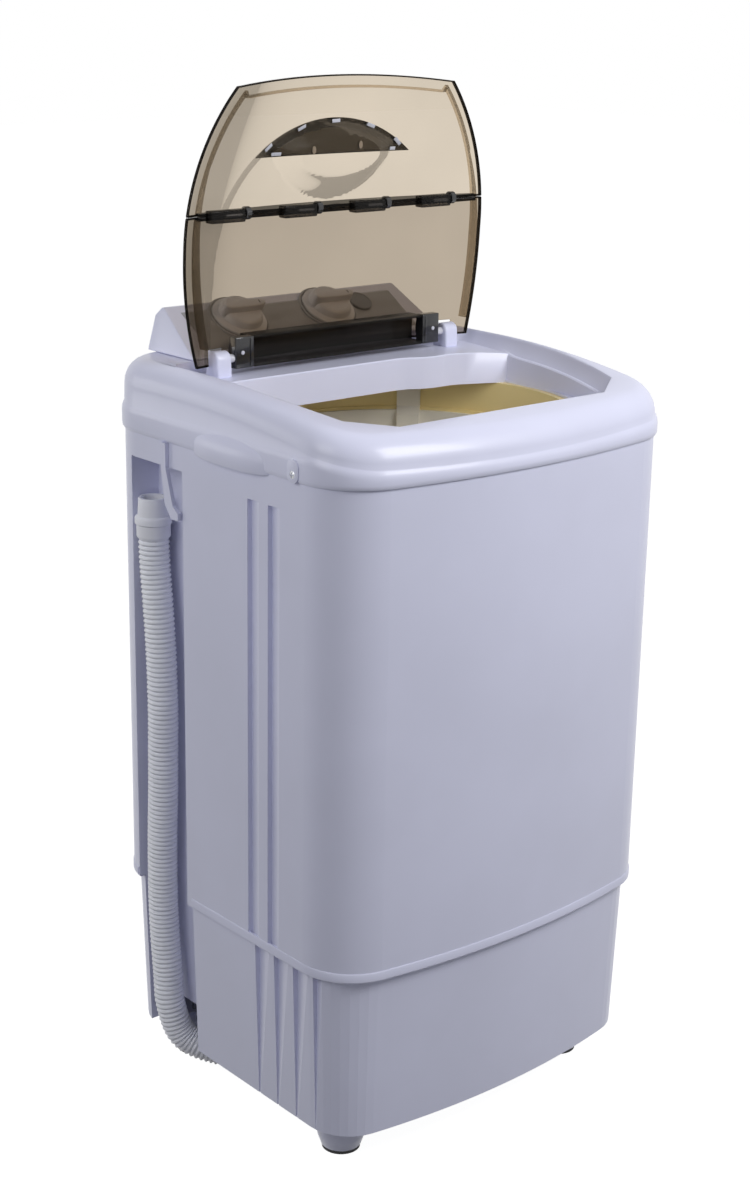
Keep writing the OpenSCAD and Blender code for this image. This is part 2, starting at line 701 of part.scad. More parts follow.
module shaft_seal() {
    color(black) translate([0, tub_y, housing_top - 8]) difference() {
        cylinder(h = 10, r = bearing_r);
        translate([0, 0, -1]) cylinder(h = 12, r = shaft_r + run);
    }
}
module driven_pulley() {
    color([0.75, 0.76, 0.78]) translate([0, tub_y, belt_z]) difference() {
        union() {
            rotate_extrude() {
                difference() {
                    translate([pulley_r - 12, -8]) square([14, 16]);
                    polygon([[pulley_r - 7.3, -3], [pulley_r + 3, -6.6], [pulley_r + 3, 6.6], [pulley_r - 7.3, 3]]);
                }
            }
            cylinder(h = 20, r = 16, center = true);
            translate([0, 0, -3]) cylinder(h = 6, r = pulley_r - 11);
        }
        cylinder(h = 60, r = shaft_r, center = true);
        for (a = [0:60:300]) rotate([0, 0, a]) translate([48, 0, 0]) cylinder(h = 20, r = 17, center = true);
    }
}
module pulley_nut() {
    color(steel) translate([0, tub_y, belt_z - 17]) difference() {
        cylinder(h = 7, r = 11, $fn = 6);
        translate([0, 0, -1]) cylinder(h = 12, r = shaft_r);
    }
}
module motor_at() {
    translate([motor_x, motor_y, 0]) children();
}
belt_dist = sqrt(pow(motor_x, 2) + pow(motor_dy, 2));
belt_dir = atan2(motor_dy, motor_x);
belt_side = acos((pulley_r - small_pulley_r) / belt_dist);
module belt_plan(g) {
    rotate([0, 0, belt_dir]) {
        circle(pulley_r - 7 + g);
        translate([belt_dist, 0]) circle(small_pulley_r - 7 + g);
        polygon([for (s = [[0, pulley_r, -1], [1, small_pulley_r, -1], [1, small_pulley_r, 1], [0, pulley_r, 1]])
            [s[0] * belt_dist + (s[1] - 7 + g) * cos(belt_side), s[2] * (s[1] - 7 + g) * sin(belt_side)]]);
    }
}
module drive_belt() {
    color(black) translate([0, tub_y, belt_z - 3]) linear_extrude(6) difference() {
        belt_plan(5.4);
        belt_plan(0.4);
    }
}
module motor_plate() {
    color(steel) difference() {
        translate([0, 0, plate_z]) linear_extrude(plate_t) difference() {
            polygon([for (p = [plate_posts[0], plate_posts[1], plate_posts[3], plate_posts[2]]) p * 1.03]);
            translate([0, tub_y]) circle(40);
            translate([elbow_x - elbow_bend_r, drain_y]) circle(18);
        }
        motor_at() cylinder(h = 300, r = 14, center = true);
        for (p = plate_posts) translate([p[0], p[1], 0]) cylinder(h = 300, r = 3, center = true, $fn = 32);
        motor_at() motor_ears() cylinder(h = 300, r = 5, center = true, $fn = 32);
    }
}
module motor_ears() {
    for (a = [45:90:315]) rotate([0, 0, a]) translate([motor_r + 4, 0, 0]) children();
}
motor_low = plate_z + plate_t + 8;
module motor_body() {
    color([0.35, 0.36, 0.38]) motor_at() difference() {
        union() {
            translate([0, 0, motor_low]) cylinder(h = motor_h * 0.28, r = motor_r - 4);
            translate([0, 0, motor_low + motor_h * 0.28]) cylinder(h = motor_h * 0.44, r = motor_r);
            translate([0, 0, motor_low + motor_h * 0.72]) cylinder(h = motor_h * 0.28, r = motor_r - 4);
            motor_ears() translate([0, 0, motor_low]) cylinder(h = 5, r = 9, $fn = 48);
            for (a = [45:90:315]) rotate([0, 0, a]) translate([motor_r - 12, -9, motor_low]) cube([16, 18, 5]);
        }
        translate([0, 0, motor_low - 1]) cylinder(h = motor_h + 2, r = 5 + run);
        motor_ears() cylinder(h = 400, r = 3.1, center = true, $fn = 32);
        for (a = [0:30:330]) rotate([0, 0, a]) translate([motor_r * 0.62, 0, motor_low + motor_h - 4])
            cylinder(h = 10, r = 5, $fn = 32);
    }
}
module motor_rotor() {
    color(steel) motor_at() translate([0, 0, belt_z - 14])
        cylinder(h = motor_low + motor_h + 6 - belt_z + 14, r = 5);
}
module motor_pulley() {
    color(steel) motor_at() translate([0, 0, belt_z]) difference() {
        union() {
            rotate_extrude() difference() {
                translate([0, -8]) square([small_pulley_r + 2, 16]);
                polygon([[small_pulley_r - 7.3, -3], [small_pulley_r + 3, -6.6], [small_pulley_r + 3, 6.6],
                    [small_pulley_r - 7.3, 3]]);
            }
        }
        cylinder(h = 60, r = 5, center = true);
    }
}
module motor_fan() {
    color([0.85, 0.85, 0.8]) motor_at() translate([0, 0, belt_z + 11]) difference() {
        union() {
            cylinder(h = 10, r = 11);
            cylinder(h = 1.6, r = 44);
            for (a = [0:45:315]) rotate([0, 0, a]) translate([10, -0.8, 0]) cube([34, 1.6, 10]);
        }
        translate([0, 0, -1]) cylinder(h = 60, r = 5);
    }
}
module motor_grommets() {
    color(black) motor_at() motor_ears() translate([0, 0, plate_z + plate_t]) difference() {
        cylinder(h = 8, r = 8, $fn = 48);
        translate([0, 0, -1]) cylinder(h = 12, r = 3.1, $fn = 32);
    }
}
module motor_bolts() {
    color(steel) motor_at() motor_ears() {
        translate([0, 0, plate_z - 4]) cylinder(h = motor_low + 5 - plate_z + 4, r = 3, $fn = 32);
        translate([0, 0, motor_low + 5]) cylinder(h = 4, r = 5.8, $fn = 6);
        translate([0, 0, plate_z - 4]) cylinder(h = 4, r = 6.5, $fn = 32);
    }
}
cap_at = [-20, half_d - 66];
module capacitor() {
    color([0.85, 0.85, 0.85]) translate([cap_at[0], cap_at[1], plate_z + plate_t]) {
        cylinder(h = 66, r = 19);
        for (x = [-6, 6]) translate([x - 3, -0.4, 66]) cube([6, 0.8, 9]);
    }
}
module capacitor_strap() {
    color(steel) translate([cap_at[0], cap_at[1], plate_z + plate_t]) {
        translate([0, 0, 24]) difference() {
            cylinder(h = 12, r = 20.2);
            translate([0, 0, -1]) cylinder(h = 14, r = 19);
        }
        translate([19.2, -6, 0]) cube([1.4, 12, 30]);
        translate([19.2, -6, 0]) cube([14, 12, 1.4]);
    }
}
// Drain valve under the tub's floor: its plunger lifts off the seat
valve_top = tub_floor_z - wall;
valve_low = valve_top - 66;
module drain_valve() {
    color(white) difference() {
        union() {
            translate([drain_x, drain_y, valve_low]) cylinder(h = 66, r = 20);
            translate([drain_x, drain_y, valve_top - 4]) cylinder(h = 4, r = 27);
            translate([drain_x, drain_y, valve_low + 20]) rotate([0, -90, 0])
                cylinder(h = drain_x - elbow_x, r = 14);
        }
        translate([drain_x, drain_y, valve_low + 4]) cylinder(h = 80, r = 16.5);
        translate([drain_x, drain_y, valve_low - 1]) cylinder(h = 10, r = 3 + run);
        translate([drain_x, drain_y, valve_low + 20]) rotate([0, -90, 0]) cylinder(h = 50, r = 11);
    }
}
plunger_travel = 12;
module valve_plunger() {
    color([0.5, 0.5, 0.55]) translate([drain_x, drain_y, 0]) {
        translate([0, 0, valve_low - 16]) cylinder(h = 60, r = 3);
        translate([0, 0, valve_top - 24]) cylinder(h = 6, r = 15.4);
        translate([0, 0, valve_low - 20]) cylinder(h = 5, r = 6);
    }
}
// Elbow that takes the valve's side outlet down to the hose
// Path of the elbow: a bend down, a straight pipe and a bend out to the hose
elbow_side = [-cos(45), sin(45), 0];
elbow_low = [elbow_x - elbow_bend_r, drain_y, hose_end[2] + elbow_bend_r];
elbow_path = concat(
    [for (a = [0:15:90]) [elbow_x - elbow_bend_r * sin(a), drain_y,
        valve_low + 20 - elbow_bend_r * (1 - cos(a))]],
    [for (a = [0:15:90]) elbow_low + elbow_bend_r * ((1 - cos(a)) * elbow_side - [0, 0, sin(a)])]);
elbow_dirs = concat([for (a = [0:15:90]) [-cos(a), 0, -sin(a)]],
    [for (a = [0:15:90]) sin(a) * elbow_side - [0, 0, cos(a)]]);
elbow_n = 24;
function elbow_ring(k, r) = let (t = elbow_dirs[k], u = unit(cross(t, [0, 1, 0])), v = cross(t, u))
    [for (i = [0:elbow_n - 1]) elbow_path[k] + r * (cos(i * 360 / elbow_n) * u + sin(i * 360 / elbow_n) * v)];
module drain_elbow() {
    last = len(elbow_path) - 1;
    rings = concat([for (k = [0:last]) elbow_ring(k, 14)], [for (k = [last:-1:0]) elbow_ring(k, 11)]);
    color(white) polyhedron([for (r = rings) each r], skin(len(rings), elbow_n));
}

rib_count = 180;
rib_depth = 1.7;
route_n = len(hose_route);
// Smooth point on the route, u from 0 to 1
function route_p(i) = i < 0 ? 2 * hose_route[0] - hose_route[1]
    : (i > route_n - 1 ? 2 * hose_route[route_n - 1] - hose_route[route_n - 2] : hose_route[i]);
function route_at(u) = let (s = u * (route_n - 1), i = min(floor(s), route_n - 2), t = s - i,
    a = route_p(i - 1), b = route_p(i), c = route_p(i + 1), d = route_p(i + 2))
    0.5 * (2 * b + (c - a) * t + (2 * a - 5 * b + 4 * c - d) * t * t + (3 * b - a - 3 * c + d) * t * t * t);
function unit(v) = v / norm(v);
hose_steps = 2 * rib_count;
hose_p = [for (k = [0:hose_steps]) route_at(k / hose_steps)];
function hose_dir(k) = unit(hose_p[min(k + 1, hose_steps)] - hose_p[max(k - 1, 0)]);
function tube_ring(k, r) = let (t = hose_dir(k), u = unit(cross(t, [1, 1, 0.1])), v = cross(t, u))
    [for (a = [0:45:315]) hose_p[k] + r * (cos(a) * u + sin(a) * v)];
function rib_r(k) = k % 2 == 0 ? hose_r : hose_r - rib_depth;
bore_step = 9;
hose_rings = concat([for (k = [0:hose_steps]) tube_ring(k, rib_r(k))],
    [for (k = [hose_steps:-bore_step:0]) tube_ring(k, hose_bore)]);
hose_len = [for (k = 0, s = 0; k < hose_steps; s = s + norm(hose_p[k + 1] - hose_p[k]), k = k + 1) s];
hose_gap = min([for (i = [0:12:hose_steps]) for (j = [i + 96:12:hose_steps]) norm(hose_p[i] - hose_p[j])])
    - 2 * hose_r;
module drain_hose() {
    echo(hose_length = hose_len[len(hose_len) - 1], least_gap = hose_gap);
    color([0.70, 0.70, 0.82])
        polyhedron([for (r = hose_rings) each r], skin(len(hose_rings), 8));
}
module hose_cuff() {
    color([0.72, 0.72, 0.82]) translate([hose_route[0][0], hose_route[0][1], hose_route[0][2]]) difference() {
        union() {
            cylinder(h = 6, r = hose_r + 2);
            cylinder(h = 34, r = hose_r + 0.8);
        }
        translate([0, 0, -1]) cylinder(h = 40, r = hose_bore);
    }
}
hook_x = -half_w - fit - 4;
module hose_hook() {
    color(white) {
        translate([hook_x, 0, 0]) rotate([90, 0, 90]) linear_extrude(4)
            translate([channel_front, cover_z]) polygon([[29, -25], [29, -fit], [21, -fit], [21, -24],
                [10, -59], [2, -65], [2, -72], [13, -72], [23, -59]]);
        translate([hook_x, channel_front + 2, cover_z - 72]) cube([channel_depth + 4, 6, 6]);
    }
}

// The lid, open as it stands: a dome cut to its outline, with a flange all round
upper_r = 223.5;
side_r = 400;
top_r = 1100;
module lid_2d(d) {
    mid = lid_foot + 110;
    intersection() {
        union() {
            intersection() {
                translate([lid_half - upper_r, mid + 4]) circle(upper_r - d, $fn = big_fn);
                translate([upper_r - lid_half, mid + 4]) circle(upper_r - d, $fn = big_fn);
                translate([-300, mid]) square([600, 300]);
            }
            intersection() {
                translate([lid_half - side_r, mid - 6]) circle(side_r - d, $fn = big_fn);
                translate([side_r - lid_half, mid - 6]) circle(side_r - d, $fn = big_fn);
                translate([-300, lid_foot + d]) square([600, mid + eps - lid_foot - d]);
            }
        }
        translate([0, lid_top - top_r]) circle(top_r - d, $fn = big_fn * 2);
    }
}
module along_y(y0, y1) {
    translate([0, y1, 0]) rotate([90, 0, 0]) linear_extrude(y1 - y0) children();
}
module dome(grow) {
    translate([0, dome_y, dome_z]) sphere(dome_r + grow, $fn = big_fn);
}
module band_2d(z0, z1) {
    translate([-300, z0]) square([600, z1 - z0]);
}
flange_end = fold_z + 48;
module lid_skin() {
    difference() {
        intersection() {
            along_y(tip_y - 20, tip_y + 60) lid_2d(0);
            dome(0);
        }
        dome(-lid_wall);
    }
}
module lid_flange(z0, z1, tip) {
    intersection() {
        along_y(tip, tip_y + 60) intersection() {
            difference() {
                lid_2d(flange_in);
                lid_2d(flange_in + lid_wall);
            }
            band_2d(z0, z1);
        }
        dome(-lid_wall + 0.2);
    }
}
module cross_wall(z0, z1, half) {
    intersection() {
        along_y(tip_y, tip_y + 60) translate([-half, z0]) square([2 * half, z1 - z0]);
        dome(-lid_wall + 0.2);
    }
}
fold_gap = 0.8;
knuckles = [-121, -35, 52, 139];
module at_fold(x) {
    translate([x, tip_y, fold_z]) rotate([0, 90, 0]) children();
}
module lid_rear_panel() {
    half = lid_half - flange_in - 3.5;
    color(concat(smoke, 0.6)) difference() {
        union() {
            intersection() {
                lid_skin();
                along_y(tip_y - 30, tip_y + 80) band_2d(0, fold_z - fold_gap);
            }
            lid_flange(lid_foot + 18, fold_z - fold_gap, tip_y);
            cross_wall(fold_z - fold_gap - lid_wall, fold_z - fold_gap, half);
            for (x = knuckles) at_fold(x - 3) difference() {
                cylinder(h = 6, r = 5, $fn = 48);
                translate([0, 0, -1]) cylinder(h = 8, r = fold_pin_r + run);
            }
        }
        for (s = [-1, 1]) translate([s * (ear_x0 + ear_x1) / 2, tip_y, lid_foot - 2])
            cube([ear_x1 - ear_x0 + 4, 90, 44], center = true);
        for (x = knuckles) at_fold(x - 44.5) cylinder(h = 41, r = 6.6);
        for (x = knuckles) at_fold(x - 3.5) translate([0, 0, 0]) cylinder(h = 7, r = fold_pin_r + run);
    }
}
module finger_2d(d) {
    intersection() {
        translate([0, fold_z + 88]) circle(80 - d);
        translate([0, fold_z - 68]) circle(146 - d);
    }
}
module lid_front_panel() {
    half = lid_half - flange_in - 3.5;
    deep = 12;
    color(concat(smoke, 0.6)) difference() {
        union() {
            difference() {
                intersection() {
                    lid_skin();
                    along_y(tip_y - 30, tip_y + 80) band_2d(fold_z + fold_gap, 1100);
                }
                along_y(tip_y - 30, tip_y + 80) finger_2d(0);
            }
            intersection() {
                along_y(tip_y - 30, tip_y + 80) difference() {
                    finger_2d(-lid_wall);
                    finger_2d(0);
                }
                difference() {
                    dome(-lid_wall + 0.2);
                    translate([0, -deep - lid_wall, 0]) dome(0);
                }
            }
            difference() {
                intersection() {
                    along_y(tip_y - 30, tip_y + 80) finger_2d(-lid_wall);
                    translate([0, -deep, 0]) dome(0);
                }
                translate([0, -deep, 0]) dome(-lid_wall);
            }
            lid_flange(fold_z + fold_gap, flange_end, tip_y);
            intersection() {
                lid_flange(flange_end - 1, 1100, tip_y);
                difference() {
                    dome(0);
                    dome(-lid_wall - 4);
                }
            }
            cross_wall(fold_z + fold_gap, fold_z + fold_gap + lid_wall, half);
            for (x = knuckles) at_fold(x - 44) cylinder(h = 40, r = 5.8, $fn = 48);
        }
        for (x = knuckles) at_fold(x - 3.5) cylinder(h = 7, r = 5.6);
        for (x = knuckles) at_fold(x - 45) cylinder(h = 50, r = fold_pin_r);
    }
}
module fold_pins() {
    color(steel) for (x = knuckles) at_fold(x - 24) cylinder(h = 27, r = fold_pin_r, $fn = 48);
}
bar_half = ear_x0 - 7;
module lid_hinge_bar() {
    color(black) difference() {
        union() {
            intersection() {
                translate([-bar_half, tip_y + 4, lid_foot - 4]) cube([2 * bar_half, 40, 30]);
                dome(-lid_wall);
            }
        }
        translate([-bar_half + 22, tip_y, lid_foot]) cube([2 * bar_half - 44, 12, 21]);
        for (s = [-1, 1]) translate([s * bar_half, hinge_y, hinge_z]) rotate([0, 90, 0])
            cylinder(h = 30, r = pin_r, center = true);
    }
}
module lid_hinge_pins() {
    color([0.8, 0.8, 0.8]) for (s = [-1, 1]) translate([s * (bar_half + 4), hinge_y, hinge_z]) rotate([0, 90, 0])
        cylinder(h = 38, r = pin_r, center = true);
}
module handle_2d() {
    intersection() {
        translate([0, fold_z - 68]) circle(152);
        band_2d(fold_z + 49, fold_z + 112);
    }
}
module lid_handle() {
    color(black) {
        difference() {
            intersection() {
                along_y(tip_y - 30, tip_y + 80) handle_2d();
                dome(3.4);
            }
            dome(0);
        }
    }
}

// Feet: revolved bowls on rubber pads
module feet() {
    color([0.86, 0.86, 0.88]) foot_places() difference() {
        rotate_extrude() {
            polygon([[0, pad_h], [foot_low_r, pad_h], [foot_low_r + 3.5, pad_h + 10], [foot_top_r - 1.5, 30],
                [foot_top_r, skirt_z - 4], [foot_top_r, skirt_z], [0, skirt_z]]);
        }
        translate([0, 0, pad_h + 10]) cylinder(h = 60, r = 2.6, $fn = 32);
    }
}
module foot_pads() {
    color([0.25, 0.25, 0.27]) foot_places() cylinder(h = pad_h, r = foot_low_r - 1);
}
module foot_screws() {
    color(steel) foot_places() translate([0, 0, pad_h + 12])
        cylinder(h = skirt_z + 8 - pad_h - 12, r = 2.55, $fn = 32);
}

cabinet_shell();
base_skirt();
top_cover();
cover_screws();
console_housing();
control_panel();
panel_disc();
timer_body();
timer_knob();
selector_body();
selector_knob();
wash_tub();
tub_collar();
filter_column();
pulsator();
pulsator_screw();
pulsator_shaft();
bearing_housing();
shaft_bearings();
shaft_seal();
driven_pulley();
pulley_nut();
drive_belt();
motor_plate();
motor_body();
motor_rotor();
motor_pulley();
motor_fan();
motor_grommets();
motor_bolts();
capacitor();
capacitor_strap();
drain_valve();
valve_plunger();
drain_elbow();
rear_cover();
rear_cover_screws();
hose_hook();
hose_cuff();
drain_hose();
lid_rear_panel();
lid_front_panel();
lid_hinge_bar();
lid_hinge_pins();
fold_pins();
lid_handle();
feet();
foot_pads();
foot_screws();
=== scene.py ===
"""Looks of a small top-loading washing machine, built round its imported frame."""
import json
import math

import bmesh
import bpy
from mathutils import Matrix, Vector


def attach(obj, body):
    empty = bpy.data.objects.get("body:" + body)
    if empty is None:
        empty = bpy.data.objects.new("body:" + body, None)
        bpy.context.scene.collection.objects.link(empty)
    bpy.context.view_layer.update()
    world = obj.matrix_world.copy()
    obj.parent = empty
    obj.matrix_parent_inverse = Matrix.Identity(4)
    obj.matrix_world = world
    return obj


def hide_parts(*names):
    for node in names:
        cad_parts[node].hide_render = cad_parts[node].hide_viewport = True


MM = 0.001
SIDES = ((-1, "left"), (1, "right"))

# Camera: place, aim and lens of the photograph's view
CAMERA_AT = (-1.26428, -1.43447, 1.10170)
CAMERA_YAW = math.radians(40.917)
CAMERA_PITCH = math.radians(17.307)
CAMERA_ROLL = math.radians(0.995)
CAMERA_LENS = 59.92

# Lamps: name, place, aim, width and watts
LAMPS = (
    ("key", (0.4, -1.2, 1.55), (0, -0.1, 0.66), 0.7, 15.5),
    ("top", (0.1, 0.2, 2.4), (0, 0, 0.7), 1.2, 1.4),
    ("fill", (-1.4, 0.0, 1.25), (-0.1, 0, 0.66), 0.7, 4.8),
    ("back", (-1.2, 1.4, 0.9), (-0.1, 0.15, 0.5), 0.7, 3.2),
)
WORLD_TINT = (0.90, 0.92, 1.0)
WORLD_STRENGTH = 0.24

# Floor: the camera sees its glow and its matte part, which shadows darken, and its bounce lights the object
FLOOR_HALF = 12.0
FLOOR_GLOW = 0.95
FLOOR_MATTE = (0.3, 0.3, 0.3)
FLOOR_BOUNCE = (0.12, 0.12, 0.13)

# Materials, and for clear ones the share of their tint in their skin and their shine at a glance
PLASTIC_IOR = 1.46
ROUGH_DRIFT = 0.12
SKIN_SHARE = 0.25
GLANCE_BLEND = 0.25
GLANCE_SHINE = 0.55

# Sizes of the body, in millimetres
BODY_W = 420.0
BODY_D = 392.0
CORNER_R = 59.0
FRONT_BOW = 13.6
WALL = 2.6
COVER_Z = 681.0
BEAD_H = 26.0
BEAD_OUT = 3.0
DECK_Z = 748.0
SHOULDER_W = 22.0
SHOULDER_H = 24.0
PANEL_SLOPE = math.radians(32.0)
KNOB_Y = 151.0
TIMER_X = -76.0
SELECTOR_X = 38.0
DISC_BESIDE = 46.0
DISC_ABOVE = 4.0

# The hose's route from its cuff to the drain elbow, in metres
HOSE_ROUTE = [(-0.198, 0.127, 0.592), (-0.198, 0.126, 0.55215), (-0.198, 0.122, 0.51231),
              (-0.198, 0.1185, 0.47246), (-0.198, 0.1165, 0.43262), (-0.198, 0.116, 0.39277),
              (-0.198, 0.117, 0.35292), (-0.198, 0.118, 0.31308), (-0.198, 0.120, 0.27323),
              (-0.198, 0.121, 0.23338), (-0.198, 0.121, 0.19354), (-0.198, 0.119, 0.15369),
              (-0.198, 0.115, 0.11385), (-0.198, 0.110, 0.074), (-0.188, 0.100, 0.039),
              (-0.163, 0.075, 0.024), (-0.136, 0.048, 0.024)]
HOSE_R = 0.0155
HOSE_BORE = 0.0116
RIB_COUNT = 130
RIB_DEPTH = 0.0020

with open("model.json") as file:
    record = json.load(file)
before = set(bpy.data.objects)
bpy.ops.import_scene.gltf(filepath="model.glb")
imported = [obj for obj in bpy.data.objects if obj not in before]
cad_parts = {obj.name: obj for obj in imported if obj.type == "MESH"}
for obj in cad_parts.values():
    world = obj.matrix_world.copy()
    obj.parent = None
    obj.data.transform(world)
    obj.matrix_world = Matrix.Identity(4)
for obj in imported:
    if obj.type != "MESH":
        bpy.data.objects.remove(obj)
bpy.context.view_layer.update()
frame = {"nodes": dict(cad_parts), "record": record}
NODES = frame["nodes"]


# Scene helpers
def link(obj):
    bpy.context.scene.collection.objects.link(obj)
    return obj


def add_camera():
    forward = Vector((math.sin(CAMERA_YAW) * math.cos(CAMERA_PITCH),
                      math.cos(CAMERA_YAW) * math.cos(CAMERA_PITCH), -math.sin(CAMERA_PITCH)))
    level = Vector((math.cos(CAMERA_YAW), -math.sin(CAMERA_YAW), 0))
    up = level.cross(forward)
    right = math.cos(CAMERA_ROLL) * level + math.sin(CAMERA_ROLL) * up
    top = -math.sin(CAMERA_ROLL) * level + math.cos(CAMERA_ROLL) * up
    data = bpy.data.cameras.new("camera")
    data.lens = CAMERA_LENS
    data.sensor_width = 36
    data.clip_end = 50
    camera = link(bpy.data.objects.new("camera", data))
    turn = Matrix((right, top, -forward)).transposed().to_4x4()
    camera.matrix_world = Matrix.Translation(CAMERA_AT) @ turn
    bpy.context.scene.camera = camera


def add_area(name, place, aim, width, watts):
    data = bpy.data.lights.new(name, "AREA")
    data.shape = "RECTANGLE"
    data.size = width
    data.size_y = width
    data.energy = watts
    lamp = link(bpy.data.objects.new(name, data))
    lamp.location = place
    lamp.rotation_euler = (Vector(aim) - Vector(place)).to_track_quat("-Z", "Y").to_euler()


def add_world():
    world = bpy.data.worlds.new("studio")
    world.use_nodes = True
    nodes, links = world.node_tree.nodes, world.node_tree.links
    nodes.clear()
    out = nodes.new("ShaderNodeOutputWorld")
    mix = nodes.new("ShaderNodeMixShader")
    soft = nodes.new("ShaderNodeBackground")
    white = nodes.new("ShaderNodeBackground")
    path = nodes.new("ShaderNodeLightPath")
    soft.inputs["Color"].default_value = (*WORLD_TINT, 1)
    soft.inputs["Strength"].default_value = WORLD_STRENGTH
    white.inputs["Color"].default_value = (1, 1, 1, 1)
    white.inputs["Strength"].default_value = 1.0
    links.new(seen_rays(nodes, links, path), mix.inputs[0])
    links.new(soft.outputs[0], mix.inputs[1])
    links.new(white.outputs[0], mix.inputs[2])
    links.new(mix.outputs[0], out.inputs[0])
    bpy.context.scene.world = world


def seen_rays(nodes, links, path):
    """1 where a ray comes from the camera, straight or by gloss or through glass."""
    first = nodes.new("ShaderNodeMath")
    first.operation = "MAXIMUM"
    second = nodes.new("ShaderNodeMath")
    second.operation = "MAXIMUM"
    links.new(path.outputs["Is Camera Ray"], first.inputs[0])
    links.new(path.outputs["Is Transmission Ray"], first.inputs[1])
    links.new(first.outputs[0], second.inputs[0])
    links.new(path.outputs["Is Glossy Ray"], second.inputs[1])
    return second.outputs[0]


def add_stage():
    mesh = bpy.data.meshes.new("floor")
    s = FLOOR_HALF
    mesh.from_pydata([(-s, -s, 0), (s, -s, 0), (s, s, 0), (-s, s, 0)], [], [(0, 1, 2, 3)])
    floor = link(bpy.data.objects.new("floor", mesh))
    mat = bpy.data.materials.new("floor_white")
    mat.use_nodes = True
    nodes, links = mat.node_tree.nodes, mat.node_tree.links
    base = nodes["Principled BSDF"]
    base.inputs["Base Color"].default_value = (*FLOOR_BOUNCE, 1)
    base.inputs["Roughness"].default_value = 0.9
    glow = nodes.new("ShaderNodeEmission")
    glow.inputs["Color"].default_value = (1, 1, 1, 1)
    glow.inputs["Strength"].default_value = FLOOR_GLOW
    matte = nodes.new("ShaderNodeBsdfDiffuse")
    matte.inputs["Color"].default_value = (*FLOOR_MATTE, 1)
    both = nodes.new("ShaderNodeAddShader")
    mix = nodes.new("ShaderNodeMixShader")
    path = nodes.new("ShaderNodeLightPath")
    links.new(seen_rays(nodes, links, path), mix.inputs[0])
    links.new(base.outputs[0], mix.inputs[1])
    links.new(glow.outputs[0], both.inputs[0])
    links.new(matte.outputs[0], both.inputs[1])
    links.new(both.outputs[0], mix.inputs[2])
    links.new(mix.outputs[0], nodes["Material Output"].inputs[0])
    mesh.materials.append(mat)


# Materials
def material(name, color, rough, bump, scale=900.0, shade=0.03, metal=0.0, coat=0.0):
    """A principled material whose colour and roughness drift a little and whose skin has a fine grain."""
    mat = bpy.data.materials.new(name)
    mat.use_nodes = True
    nodes, links = mat.node_tree.nodes, mat.node_tree.links
    base = nodes["Principled BSDF"]
    where = nodes.new("ShaderNodeTexCoord")
    drift = nodes.new("ShaderNodeTexNoise")
    drift.inputs["Scale"].default_value = 6.0
    drift.inputs["Detail"].default_value = 3.0
    links.new(where.outputs["Object"], drift.inputs["Vector"])
    tone = nodes.new("ShaderNodeValToRGB")
    low = [max(0, c * (1 - shade)) for c in color]
    high = [min(1, c * (1 + shade)) for c in color]
    tone.color_ramp.elements[0].position = 0.35
    tone.color_ramp.elements[1].position = 0.65
    tone.color_ramp.elements[0].color = (*low, 1)
    tone.color_ramp.elements[1].color = (*high, 1)
    links.new(drift.outputs["Fac"], tone.inputs[0])
    links.new(tone.outputs[0], base.inputs["Base Color"])
    gloss = nodes.new("ShaderNodeMapRange")
    gloss.inputs["From Min"].default_value = 0.3
    gloss.inputs["From Max"].default_value = 0.7
    gloss.inputs["To Min"].default_value = rough * (1 - ROUGH_DRIFT)
    gloss.inputs["To Max"].default_value = min(1, rough * (1 + ROUGH_DRIFT))
    links.new(drift.outputs["Fac"], gloss.inputs["Value"])
    links.new(gloss.outputs[0], base.inputs["Roughness"])
    grain = nodes.new("ShaderNodeTexNoise")
    grain.inputs["Scale"].default_value = scale
    grain.inputs["Detail"].default_value = 2.0
    links.new(where.outputs["Object"], grain.inputs["Vector"])
    raised = nodes.new("ShaderNodeBump")
    raised.inputs["Strength"].default_value = bump
    raised.inputs["Distance"].default_value = 0.0002
    links.new(grain.outputs["Fac"], raised.inputs["Height"])
    links.new(raised.outputs[0], base.inputs["Normal"])
    base.inputs["Metallic"].default_value = metal
    base.inputs["Coat Weight"].default_value = coat
    base.inputs["IOR"].default_value = PLASTIC_IOR
    return mat


def clear_material(name, tint, rough, gloss):
    """A clear moulding: its tint filters what lies behind, and its skin shines more at a glance."""
    mat = material(name, tint, rough, bump=0.02, scale=200, shade=0.02)
    nodes, links = mat.node_tree.nodes, mat.node_tree.links
    base = nodes["Principled BSDF"]
    through = nodes.new("ShaderNodeBsdfTransparent")
    tone = next(n for n in nodes if n.type == "VALTORGB")
    links.new(tone.outputs[0], through.inputs["Color"])
    links.remove(base.inputs["Base Color"].links[0])
    base.inputs["Base Color"].default_value = (*(SKIN_SHARE * c for c in tint), 1)
    edge = nodes.new("ShaderNodeLayerWeight")
    edge.inputs["Blend"].default_value = GLANCE_BLEND
    much = nodes.new("ShaderNodeMapRange")
    much.inputs["To Min"].default_value = gloss
    much.inputs["To Max"].default_value = GLANCE_SHINE
    links.new(edge.outputs["Fresnel"], much.inputs["Value"])
    mix = nodes.new("ShaderNodeMixShader")
    links.new(much.outputs[0], mix.inputs[0])
    links.new(through.outputs[0], mix.inputs[1])
    links.new(base.outputs[0], mix.inputs[2])
    links.new(mix.outputs[0], nodes["Material Output"].inputs[0])
    return mat


